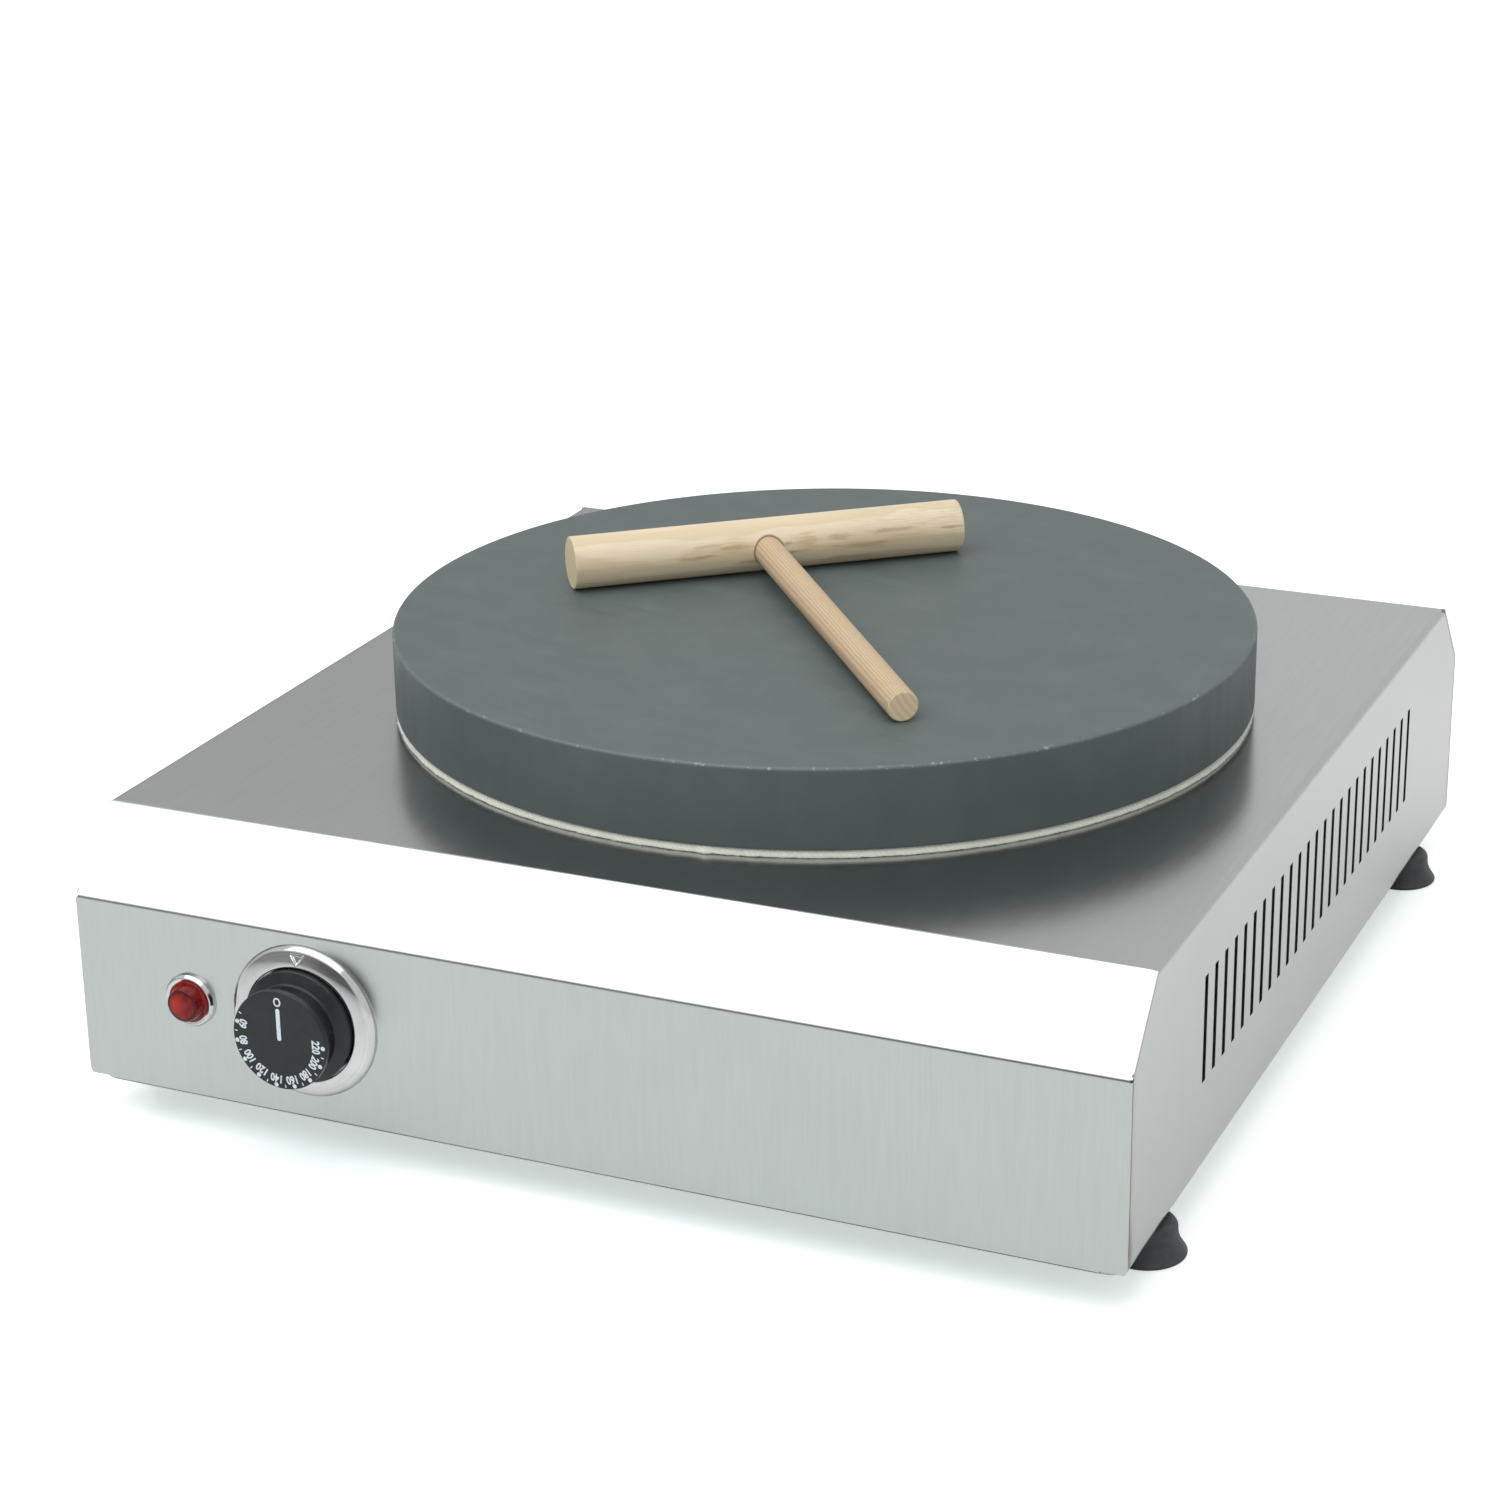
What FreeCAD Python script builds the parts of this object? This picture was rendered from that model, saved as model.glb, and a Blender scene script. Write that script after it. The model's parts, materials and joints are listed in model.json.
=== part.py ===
"""Electric crepe maker, modelled piece by piece.

Millimetres, +Z up, +X to the right seen from the front, front panel towards -Y.
The origin lies on the table below the middle of the housing.
"""
import FreeCAD
import Part
import math
import os

# Housing, folded from one sheet
BODY_WIDTH = 420.0
BODY_DEPTH = 460.0
PANEL_HEIGHT = 75.6
SLOPE_RISE = 30.0
SLOPE_RUN = 26.0
SHEET = 1.2
FOLD_RADIUS = 2.2
SIDE_BEND_RADIUS = 3.2
LOWER_BEND_RADIUS = 4.5
LOWER_FOLD_RADIUS = 1.6
FLANGE_WIDTH = 22.0
CORNER_RELIEF = 10.0
TOP_OPENING_SETBACK = 25.0

# Seam between the side sheets and the edges of the front and rear sheets
SEAM_WIDTH = 0.3
SEAM_DEPTH = 0.3
SEAM_START = 8.0
CREASE_NOTCH_HEIGHT = 1.0
CREASE_NOTCH_DEPTH = 0.8

# Ventilation slots in both sides
SLOT_COUNT = 25
SLOT_PITCH = 12.1
SLOT_WIDTH = 4.0
SLOT_HEIGHT = 42.0
SLOT_MIDDLE_HEIGHT = 58.0

# Base cover and its screws
COVER_THICKNESS = 1.0
COVER_INSET = 3.0
COVER_CORNER_RADIUS = 6.0
COVER_SLOT_COUNT = 9
COVER_SLOT_PITCH = 14.0
COVER_SLOT_LENGTH = 56.0
COVER_SLOT_WIDTH = 3.5
COVER_SLOT_OFFSET = 95.0
COVER_SCREW_CORNER_X = 80.0
COVER_SCREW_CORNER_Y = 158.0
COVER_SCREW_INSET = 12.0
COVER_SCREW_RADIUS = 2.0
COVER_SCREW_HEAD_RADIUS = 3.8
COVER_SCREW_HEAD_HEIGHT = 2.3
COVER_SCREW_LENGTH = 8.0

# Feet
FOOT_HEIGHT = 13.4
FOOT_BASE_RADIUS = 15.8
FOOT_NECK_RADIUS = 11.6
FOOT_NECK_HEIGHT = 6.5
FOOT_SHOULDER_RADIUS = 3.0
FOOT_RIM_RADIUS = 0.8
FOOT_FLARE_RADIUS = 12.0
FOOT_RECESS_RADIUS = 8.0
FOOT_RECESS_DEPTH = 5.0
FOOT_INSET_X = 8.5
FOOT_INSET_Y = 47.5
FOOT_SCREW_RADIUS = 2.5
FOOT_SCREW_HEAD_RADIUS = 4.75
FOOT_SCREW_HEAD_HEIGHT = 3.3
FOOT_SCREW_TIP = 2.0
FOOT_NUT_WIDTH = 8.0
FOOT_NUT_HEIGHT = 4.0

# Hotplate and gasket
PLATE_RADIUS = 175.0
PLATE_HEIGHT = 32.5
PLATE_THICKNESS = 12.0
PLATE_RIM_WIDTH = 17.0
PLATE_EDGE_RADIUS = 1.6
PLATE_LOWER_RADIUS = 1.0
PLATE_RECESS_RADIUS = 3.0
PLATE_CENTRE_Y = 5.0
GASKET_THICKNESS = 3.0
GASKET_WIDTH = 15.0
GASKET_SETBACK = 0.8

# Studs that draw the plate and the shield together
STUD_COUNT = 3
STUD_LOOP_DISTANCE = 30.0
STUD_START_ANGLE = 90.0
STUD_RADIUS = 4.0
STUD_BITE = 12.0
STUD_TAIL = 4.0
BOSS_RADIUS = 11.0
BOSS_LENGTH = 10.5
M8_NUT_WIDTH = 13.0
M8_NUT_HEIGHT = 6.5
CLAMP_WASHER_RADIUS = 20.0
CLAMP_WASHER_THICKNESS = 2.0
PAN_WASHER_RADIUS = 12.0
PAN_WASHER_THICKNESS = 1.6

# Heating elements, clamp plate, insulation and shield
TUBE_RADIUS = 4.25
OUTER_LOOP_SETBACK = 18.0
LOOP_DISTANCE = 55.0
LEG_BEND_RADIUS = 12.0
LEG_SPACING = 30.0
LEG_REACH = 6.0
PIN_RADIUS = 1.75
PIN_LENGTH = 8.0
CLAMP_PLATE_GAP = 10.0
CLAMP_PLATE_THICKNESS = 2.5
INSULATION_GAP = 5.0
PAN_WALL_SETBACK = 2.0
PAN_FLANGE_WIDTH = 12.0
PAN_DEPTH = 44.8
PAN_SHEET = 0.8
PAN_FOLD_RADIUS = 4.0
PASSAGE_GAP = 1.2

# Thermostat, knob and bezel
KNOB_INSET = 98.3
CONTROL_HEIGHT = 40.8
KNOB_REACH = 18.6
KNOB_PANEL_GAP = 3.4
KNOB_FACE_RADIUS = 19.7
KNOB_FACE_THICKNESS = 2.6
KNOB_WAIST_RADIUS = 17.7
KNOB_SKIRT_RADIUS = 22.4
KNOB_SKIRT_THICKNESS = 2.8
KNOB_WALL = 2.2
KNOB_BOSS_RADIUS = 6.5
KNOB_BOSS_SETBACK = 1.0
KNOB_TOP_WALL = 4.0
KNOB_BORE_DEPTH = 9.0
KNOB_EDGE_RADIUS = 0.5
KNOB_NECK_RADIUS = 0.8
KNOB_FLARE_RADIUS = 1.5
KNOB_FLARE_LENGTH = 2.4
RIB_COUNT = 130
RIB_HEIGHT = 0.3
BEZEL_RADIUS = 30.6
BEZEL_CREST = 28.4
BEZEL_FLOOR = 22.8
BEZEL_HEIGHT = 4.2
BEZEL_SHEET = 0.8
BEZEL_FLOOR_ROUNDING = 1.0
BEZEL_CREST_ROUNDING = 1.2
BEZEL_FOOT_ROUNDING = 0.6
POINTER_START = 28.2
POINTER_TIP = 24.6
POINTER_FOOT_TIP = 23.6
POINTER_TOP_WIDTH = 3.2
POINTER_TOP_TIP_WIDTH = 1.0
POINTER_FOOT_WIDTH = 6.4
POINTER_FOOT_TIP_WIDTH = 3.2
POINTER_TOP_DROP = 0.3
SHAFT_RADIUS = 3.0
SHAFT_FLAT = 1.2
SHAFT_DEPTH = 12.0
BUSHING_RADIUS = 5.0
BUSHING_REACH = 1.6
THERMOSTAT_WIDTH = 38.0
THERMOSTAT_HEIGHT = 36.0
THERMOSTAT_DEPTH = 31.0
THERMOSTAT_CORNER_RADIUS = 4.0
FRAME_PLATE = 1.6
CONTROL_SCREW_SPACING = 28.0
CONTROL_SCREW_RADIUS = 2.0
CONTROL_SCREW_HEAD_RADIUS = 3.8
CONTROL_SCREW_HEAD_HEIGHT = 1.9
CONTROL_SCREW_LENGTH = 6.5
TAB_WIDTH = 6.3
TAB_THICKNESS = 0.8
TAB_LENGTH = 8.0
TAB_SPACING = 18.0
RUNNING_GAP = 0.05

# Capillary and sensor bulb
CAPILLARY_RADIUS = 0.8
CAPILLARY_BEND = 8.0
CAPILLARY_BULB_GAP = 20.0
BULB_RADIUS = 3.0
BULB_LENGTH = 80.0
BULB_END_RADIUS = 2.4
CAPILLARY_LOOP_GAP = 11.7
BULB_SPRING_SPACING = 48.0
BULB_SPRING_WIDTH = 10.0
BULB_SPRING_SHEET = 0.5
BULB_SPRING_SPAN = 18.0

# Pilot lamp
LAMP_KNOB_DISTANCE = 49.7
LAMP_BEZEL_RADIUS = 10.6
LAMP_BEZEL_HEIGHT = 2.4
LAMP_BEZEL_SLOPE = 1.0
LAMP_BEZEL_EDGE = 0.3
LAMP_BEZEL_ROUNDING = 0.5
LENS_BASE_RADIUS = 8.2
LENS_BARREL_RADIUS = 7.3
LENS_TIP_RADIUS = 6.4
LENS_REACH = 7.2
LENS_DOME = 0.7
LENS_FLANGE_HEIGHT = 2.2
LENS_LEDGE_HEIGHT = 0.3
LENS_EDGE_RADIUS = 0.5
LENS_DOME_SHARE = 0.5
LAMP_BARREL_RADIUS = 5.8
LAMP_BARREL_LENGTH = 24.0
LAMP_NUT_RADIUS = 9.0
LAMP_NUT_HEIGHT = 3.0
LAMP_TAB_SPACING = 6.0
LAMP_TAB_WIDTH = 2.8

# Cable gland on the rear panel
GLAND_INSET = 60.0
GLAND_HEIGHT = 38.6
GLAND_THREAD_RADIUS = 8.0
GLAND_BORE_RADIUS = 5.0
GLAND_HEX_WIDTH = 22.0
GLAND_FLANGE_THICKNESS = 4.6
GLAND_OUTER_THREAD = 5.4
GLAND_INNER_THREAD = 8.0
GLAND_LOCKNUT_HEIGHT = 4.0
DOME_NUT_LENGTH = 14.0
DOME_NUT_FLAT_LENGTH = 8.0
DOME_NUT_MOUTH_RADIUS = 6.2
DOME_NUT_TIP_RADIUS = 7.6
DOME_NUT_ROUNDING = 6.0
DOME_NUT_CORNER_ROUNDING = 1.0
SEAL_LENGTH = 6.0
SEAL_RADIUS = 7.4
CABLE_RADIUS = 4.5

# Terminal block and earth stud
BLOCK_INSET = 65.0
BLOCK_LENGTH = 54.0
BLOCK_DEPTH = 20.0
BLOCK_HEIGHT = 12.0
BLOCK_LUG_HEIGHT = 6.0
BLOCK_LUG_LENGTH = 8.0
POLE_COUNT = 3
POLE_PITCH = 12.0
POLE_HUMP_RADIUS = 5.2
INSERT_RADIUS = 3.4
TERMINAL_SCREW_RADIUS = 1.6
TERMINAL_SCREW_SPACING = 9.0
TERMINAL_SCREW_SINK = 0.8
BLOCK_SCREW_RADIUS = 1.5
BLOCK_SCREW_HEAD_RADIUS = 2.8
BLOCK_SCREW_HEAD_HEIGHT = 1.8
BLOCK_SCREW_TIP = 1.0
EARTH_STUD_INSET = 20.0
EARTH_STUD_HEIGHT = 35.6
EARTH_STUD_RADIUS = 2.5
EARTH_STUD_LENGTH = 16.0
EARTH_NUT_WIDTH = 8.0
EARTH_NUT_HEIGHT = 4.0
EARTH_LUG_SPACE = 2.8

# Internal wires
WIRE_RADIUS = 1.4
LAMP_WIRE_RADIUS = 0.9
WIRE_GAP = 0.3
RUN_SHARE = 0.45
WIRE_ENTRY = 7.0

# Batter spreader
ROLLER_RADIUS = 11.0
ROLLER_LENGTH = 169.0
ROLLER_EDGE_RADIUS = 0.7
ROLLER_X = -44.2
ROLLER_Y = 48.4
ROLLER_HEADING = 39.4
HANDLE_RADIUS = 6.2
HANDLE_REACH = 193.5
HANDLE_OFFSET = -1.8
HANDLE_TENON = 9.0
HANDLE_EDGE_RADIUS = 0.8
REST_GAP = 0.15

# Shared fits
THREAD_GAP = 0.05
HOLE_GAP = 0.15

# Radii that follow the hotplate
TOP_OPENING_RADIUS = PLATE_RADIUS - TOP_OPENING_SETBACK
PAN_WALL_RADIUS = TOP_OPENING_RADIUS + PAN_WALL_SETBACK
PAN_FLANGE_RADIUS = PAN_WALL_RADIUS + PAN_FLANGE_WIDTH
INSULATION_RADIUS = PAN_WALL_RADIUS - INSULATION_GAP
CLAMP_PLATE_RADIUS = PLATE_RADIUS - PLATE_RIM_WIDTH - CLAMP_PLATE_GAP
OUTER_LOOP_RADIUS = CLAMP_PLATE_RADIUS - OUTER_LOOP_SETBACK
INNER_LOOP_RADIUS = OUTER_LOOP_RADIUS - LOOP_DISTANCE
STUD_CIRCLE_RADIUS = OUTER_LOOP_RADIUS - STUD_LOOP_DISTANCE

# Where the capillary passes the shield, inside the outer loop, and the bulb's distance from the middle
CAPILLARY_RISE_X = -(BULB_LENGTH / 2 + CAPILLARY_BULB_GAP)
CAPILLARY_CIRCLE = OUTER_LOOP_RADIUS - CAPILLARY_LOOP_GAP
BULB_OFFSET = math.sqrt(CAPILLARY_CIRCLE ** 2 - CAPILLARY_RISE_X ** 2)

# Places along X and Y that follow the housing
KNOB_X = -(BODY_WIDTH / 2 - KNOB_INSET)
LAMP_X = KNOB_X - LAMP_KNOB_DISTANCE
GLAND_X = BODY_WIDTH / 2 - GLAND_INSET
BLOCK_X = GLAND_X
BLOCK_Y = BODY_DEPTH / 2 - BLOCK_INSET
EARTH_STUD_X = BODY_WIDTH / 2 - EARTH_STUD_INSET
COVER_SCREW_SPAN_X = BODY_WIDTH / 2 - COVER_SCREW_CORNER_X
COVER_SCREW_SPAN_Y = BODY_DEPTH / 2 - COVER_SCREW_CORNER_Y

# Levels above the table, from the bottom up
BODY_BOTTOM = FOOT_HEIGHT + COVER_THICKNESS
CREASE_LEVEL = BODY_BOTTOM + PANEL_HEIGHT
BODY_TOP = CREASE_LEVEL + SLOPE_RISE
PLATE_BOTTOM = BODY_TOP + GASKET_THICKNESS
PLATE_TOP = PLATE_BOTTOM + PLATE_HEIGHT
PLATE_UNDERSIDE = PLATE_TOP - PLATE_THICKNESS
TUBE_LEVEL = PLATE_UNDERSIDE - TUBE_RADIUS
CLAMP_PLATE_TOP = TUBE_LEVEL - TUBE_RADIUS
CLAMP_PLATE_BOTTOM = CLAMP_PLATE_TOP - CLAMP_PLATE_THICKNESS
CLAMP_NUT_TOP = CLAMP_PLATE_BOTTOM - CLAMP_WASHER_THICKNESS
CLAMP_NUT_BOTTOM = CLAMP_NUT_TOP - M8_NUT_HEIGHT
SHIELD_TOP = BODY_TOP - SHEET
SHIELD_BOTTOM = SHIELD_TOP - PAN_DEPTH
PAN_NUT_TOP = SHIELD_BOTTOM - PAN_WASHER_THICKNESS
PAN_NUT_BOTTOM = PAN_NUT_TOP - M8_NUT_HEIGHT
STUD_BOTTOM = PAN_NUT_BOTTOM - STUD_TAIL
CONTROL_LEVEL = BODY_BOTTOM + CONTROL_HEIGHT
GLAND_LEVEL = BODY_BOTTOM + GLAND_HEIGHT
BLOCK_BOTTOM = BODY_BOTTOM

# Planes along Y
FRONT = -BODY_DEPTH / 2
FRONT_INSIDE = FRONT + SHEET
REAR = BODY_DEPTH / 2
REAR_INSIDE = REAR - SHEET
KNOB_FACE = FRONT - KNOB_REACH
KNOB_BACK = FRONT - KNOB_PANEL_GAP

UP = FreeCAD.Vector(0, 0, 1)
DOWN = FreeCAD.Vector(0, 0, -1)
INWARD = FreeCAD.Vector(0, 1, 0)
RIGHT = FreeCAD.Vector(1, 0, 0)


def vec(x, y, z):
    return FreeCAD.Vector(x, y, z)


def cylinder(radius, length, start, direction=UP):
    return Part.makeCylinder(radius, length, start, direction)


def box(low, high):
    size = high - low
    return Part.makeBox(size.x, size.y, size.z, low)


def rounded_wire(corners, place):
    """A closed wire through corners (u, v, radius), with tangent arcs at the rounded ones."""
    flat = [FreeCAD.Vector(corner[0], corner[1], 0) for corner in corners]
    entries = []
    count = len(corners)
    for index, corner in enumerate(corners):
        here = flat[index]
        radius = corner[2]
        if radius <= 0:
            entries.append((here, None, here))
            continue
        back = (flat[index - 1] - here).normalize()
        ahead = (flat[(index + 1) % count] - here).normalize()
        half_angle = back.getAngle(ahead) / 2
        tangent = radius / math.tan(half_angle)
        middle_way = (back + ahead).normalize()
        middle = here + middle_way * (radius / math.sin(half_angle) - radius)
        entries.append((here + back * tangent, middle, here + ahead * tangent))
    edges = []
    for index, (start, middle, end) in enumerate(entries):
        if middle is not None:
            edges.append(Part.Arc(place(start), place(middle), place(end)).toShape())
        following = entries[(index + 1) % count][0]
        if (following - end).Length > 1e-6:
            edges.append(Part.LineSegment(place(end), place(following)).toShape())
    return Part.Wire(Part.__sortEdges__(edges))


def extruded(corners, place, travel):
    return Part.Face(rounded_wire(corners, place)).extrude(travel)


def side_of(direction):
    """A direction square to the given one."""
    if abs(direction.dot(UP)) > 0.999:
        return INWARD
    return direction.cross(UP).normalize()


def turned(corners, centre, direction=UP):
    """A solid of revolution: corners are (radius, distance along direction, rounding)."""
    side = side_of(direction)
    face = Part.Face(rounded_wire(corners, lambda point: centre + side * point.x + direction * point.y))
    return face.revolve(centre, direction, 360)


def inset_corners(corners, distance):
    """The same convex outline (counter-clockwise) moved inwards by distance on every side."""
    count = len(corners)
    moved = []
    for index, corner in enumerate(corners):
        before = corners[index - 1]
        after = corners[(index + 1) % count]
        first = FreeCAD.Vector(corner[0] - before[0], corner[1] - before[1], 0).normalize()
        second = FreeCAD.Vector(after[0] - corner[0], after[1] - corner[1], 0).normalize()
        first_normal = FreeCAD.Vector(-first.y, first.x, 0)
        second_normal = FreeCAD.Vector(-second.y, second.x, 0)
        middle = (first_normal + second_normal).normalize()
        reach = distance / middle.dot(first_normal)
        radius = max(corner[2] - distance, 0)
        moved.append((corner[0] + middle.x * reach, corner[1] + middle.y * reach, radius))
    return moved


def hexagon(width, height, start, direction=UP):
    """A hexagonal prism, width across its flats."""
    corner_radius = width / math.sqrt(3)
    side = side_of(direction)
    other = direction.cross(side)
    points = []
    for index in range(7):
        angle = math.radians(60 * index)
        across = side * math.cos(angle) + other * math.sin(angle)
        points.append(start + across * corner_radius)
    return Part.Face(Part.makePolygon(points)).extrude(direction * height)


def nut(width, height, bore_radius, start, direction=UP):
    return hexagon(width, height, start, direction).cut(cylinder(bore_radius, height, start, direction))


def washer(radius, bore_radius, thickness, start, direction=UP):
    bore = cylinder(bore_radius, thickness, start, direction)
    return cylinder(radius, thickness, start, direction).cut(bore)


def pan_head_screw(radius, head_radius, head_height, length, seat, direction):
    """A screw whose head sits on seat and whose shank runs along direction."""
    return turned([
        (0, -head_height, 0),
        (head_radius, -head_height, head_height / 2),
        (head_radius, 0, 0),
        (radius, 0, 0),
        (radius, length, 0),
        (0, length, 0),
    ], seat, direction)


def fused(shapes):
    first = shapes[0]
    return first.multiFuse(shapes[1:]).removeSplitter() if len(shapes) > 1 else first


def plate_point(x, y, z):
    """A point given from the hotplate's centre line."""
    return vec(x, PLATE_CENTRE_Y + y, z)


def around_plate(radius, angle, z):
    turn = math.radians(angle)
    return plate_point(radius * math.cos(turn), radius * math.sin(turn), z)


def stud_places(z):
    angles = [STUD_START_ANGLE + 360 / STUD_COUNT * index for index in range(STUD_COUNT)]
    return [around_plate(STUD_CIRCLE_RADIUS, angle, z) for angle in angles]


def foot_places():
    x = BODY_WIDTH / 2 - FOOT_INSET_X
    y = BODY_DEPTH / 2 - FOOT_INSET_Y
    return {
        "foot_front_left": vec(-x, -y, 0),
        "foot_front_right": vec(x, -y, 0),
        "foot_rear_left": vec(-x, y, 0),
        "foot_rear_right": vec(x, y, 0),
    }


def cover_screw_places():
    side_x = BODY_WIDTH / 2 - COVER_SCREW_INSET
    end_y = BODY_DEPTH / 2 - COVER_SCREW_INSET
    places = []
    for sign in (-1, 1):
        for x in (-COVER_SCREW_SPAN_X, 0, COVER_SCREW_SPAN_X):
            places.append(vec(x, sign * end_y, FOOT_HEIGHT))
        for y in (-COVER_SCREW_SPAN_Y, COVER_SCREW_SPAN_Y):
            places.append(vec(sign * side_x, y, FOOT_HEIGHT))
    return places


def block_screw_places():
    x = BLOCK_LENGTH / 2 - BLOCK_LUG_LENGTH / 2
    return [vec(BLOCK_X + sign * x, BLOCK_Y, BLOCK_BOTTOM) for sign in (-1, 1)]


def side_outline():
    """Housing seen from the right: (y, z, rounding), counter-clockwise."""
    half = BODY_DEPTH / 2
    return [
        (-half, BODY_BOTTOM, LOWER_FOLD_RADIUS),
        (half, BODY_BOTTOM, LOWER_FOLD_RADIUS),
        (half, CREASE_LEVEL, FOLD_RADIUS),
        (half - SLOPE_RUN, BODY_TOP, FOLD_RADIUS),
        (-half + SLOPE_RUN, BODY_TOP, FOLD_RADIUS),
        (-half, CREASE_LEVEL, FOLD_RADIUS),
    ]


def front_outline():
    """Housing seen from the front: (x, z, rounding), counter-clockwise."""
    half = BODY_WIDTH / 2
    return [
        (-half, BODY_BOTTOM, LOWER_BEND_RADIUS),
        (half, BODY_BOTTOM, LOWER_BEND_RADIUS),
        (half, BODY_TOP, SIDE_BEND_RADIUS),
        (-half, BODY_TOP, SIDE_BEND_RADIUS),
    ]


def folded_block(inset):
    """The housing's filled form, moved inwards by inset on every face."""
    half_width = BODY_WIDTH / 2 - inset
    half_depth = BODY_DEPTH / 2 - inset
    from_side = extruded(
        inset_corners(side_outline(), inset),
        lambda point: vec(-half_width, point.x, point.y),
        RIGHT * (2 * half_width))
    from_front = extruded(
        inset_corners(front_outline(), inset),
        lambda point: vec(point.x, -half_depth, point.y),
        INWARD * (2 * half_depth))
    return from_side.common(from_front)


def side_slots():
    """Cutters for the ventilation slots, each through both side walls."""
    low = BODY_BOTTOM + SLOT_MIDDLE_HEIGHT - SLOT_HEIGHT / 2
    reach = BODY_WIDTH / 2 + SHEET
    clear = BODY_WIDTH / 2 - 2 * SHEET
    cutters = []
    for index in range(SLOT_COUNT):
        middle = (index - (SLOT_COUNT - 1) / 2) * SLOT_PITCH
        for inner, outer in ((-reach, -clear), (clear, reach)):
            cutters.append(box(
                vec(inner, middle - SLOT_WIDTH / 2, low),
                vec(outer, middle + SLOT_WIDTH / 2, low + SLOT_HEIGHT)))
    return cutters


def corner_reliefs():
    """Cutters that end the front and rear flanges short of each corner."""
    cutters = []
    for side in (-1, 1):
        for end in (-1, 1):
            outer = vec(side * (BODY_WIDTH / 2 + SHEET), end * (BODY_DEPTH / 2 + SHEET), BODY_BOTTOM - SHEET)
            inner = vec(
                side * (BODY_WIDTH / 2 - CORNER_RELIEF),
                end * (BODY_DEPTH / 2 - CORNER_RELIEF),
                BODY_BOTTOM + LOWER_FOLD_RADIUS)
            low = vec(min(outer.x, inner.x), min(outer.y, inner.y), outer.z)
            high = vec(max(outer.x, inner.x), max(outer.y, inner.y), inner.z)
            cutters.append(box(low, high))
    return cutters


def control_screw_places(y):
    half = CONTROL_SCREW_SPACING / 2
    return [vec(KNOB_X, y, CONTROL_LEVEL + sign * half) for sign in (-1, 1)]


def seen_from_side(inset):
    """A block of the side outline, moved inwards by inset, across the full width."""
    return extruded(
        inset_corners(side_outline(), inset),
        lambda point: vec(-BODY_WIDTH / 2, point.x, point.y),
        RIGHT * BODY_WIDTH)


def slope_zones(low):
    """Boxes round the parts of the housing that lie in front of and behind its flat top."""
    half_width = BODY_WIDTH / 2 + SHEET
    half_depth = BODY_DEPTH / 2 + SHEET
    flat_end = BODY_DEPTH / 2 - SLOPE_RUN
    high = BODY_TOP + SHEET
    return Part.makeCompound([
        box(vec(-half_width, -half_depth, low), vec(half_width, -flat_end, high)),
        box(vec(-half_width, flat_end, low), vec(half_width, half_depth, high))])


def end_sheets():
    """The front and rear sheets with their slopes, which keep square upper corners."""
    half = BODY_WIDTH / 2
    square_top = extruded(
        [
            (-half, BODY_BOTTOM, LOWER_BEND_RADIUS),
            (half, BODY_BOTTOM, LOWER_BEND_RADIUS),
            (half, BODY_TOP, 0),
            (-half, BODY_TOP, 0),
        ],
        lambda point: vec(point.x, -BODY_DEPTH / 2, point.y),
        INWARD * BODY_DEPTH)
    skin = seen_from_side(0).cut(seen_from_side(SHEET)).common(square_top)
    return skin.common(slope_zones(BODY_BOTTOM - SHEET))


def seam_cutters():
    """Fine grooves behind the end sheets' edges, and notches where the slope's crease ends."""
    half_width = BODY_WIDTH / 2
    ring = seen_from_side(SHEET).cut(seen_from_side(SHEET + SEAM_WIDTH))
    core = half_width - SEAM_DEPTH
    middle = box(
        vec(-core, -BODY_DEPTH / 2, 0),
        vec(core, BODY_DEPTH / 2, BODY_TOP))
    cutters = [ring.cut(middle).common(slope_zones(BODY_BOTTOM + SEAM_START))]
    for side in (-1, 1):
        for end in (-1, 1):
            outer_x = side * (half_width + SHEET)
            inner_x = side * (half_width - CREASE_NOTCH_DEPTH)
            outer_y = end * (BODY_DEPTH / 2 + SHEET)
            inner_y = end * (BODY_DEPTH / 2 - SHEET - SEAM_WIDTH)
            cutters.append(box(
                vec(min(outer_x, inner_x), min(outer_y, inner_y), CREASE_LEVEL - CREASE_NOTCH_HEIGHT / 2),
                vec(max(outer_x, inner_x), max(outer_y, inner_y), CREASE_LEVEL + CREASE_NOTCH_HEIGHT / 2)))
    return cutters


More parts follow.
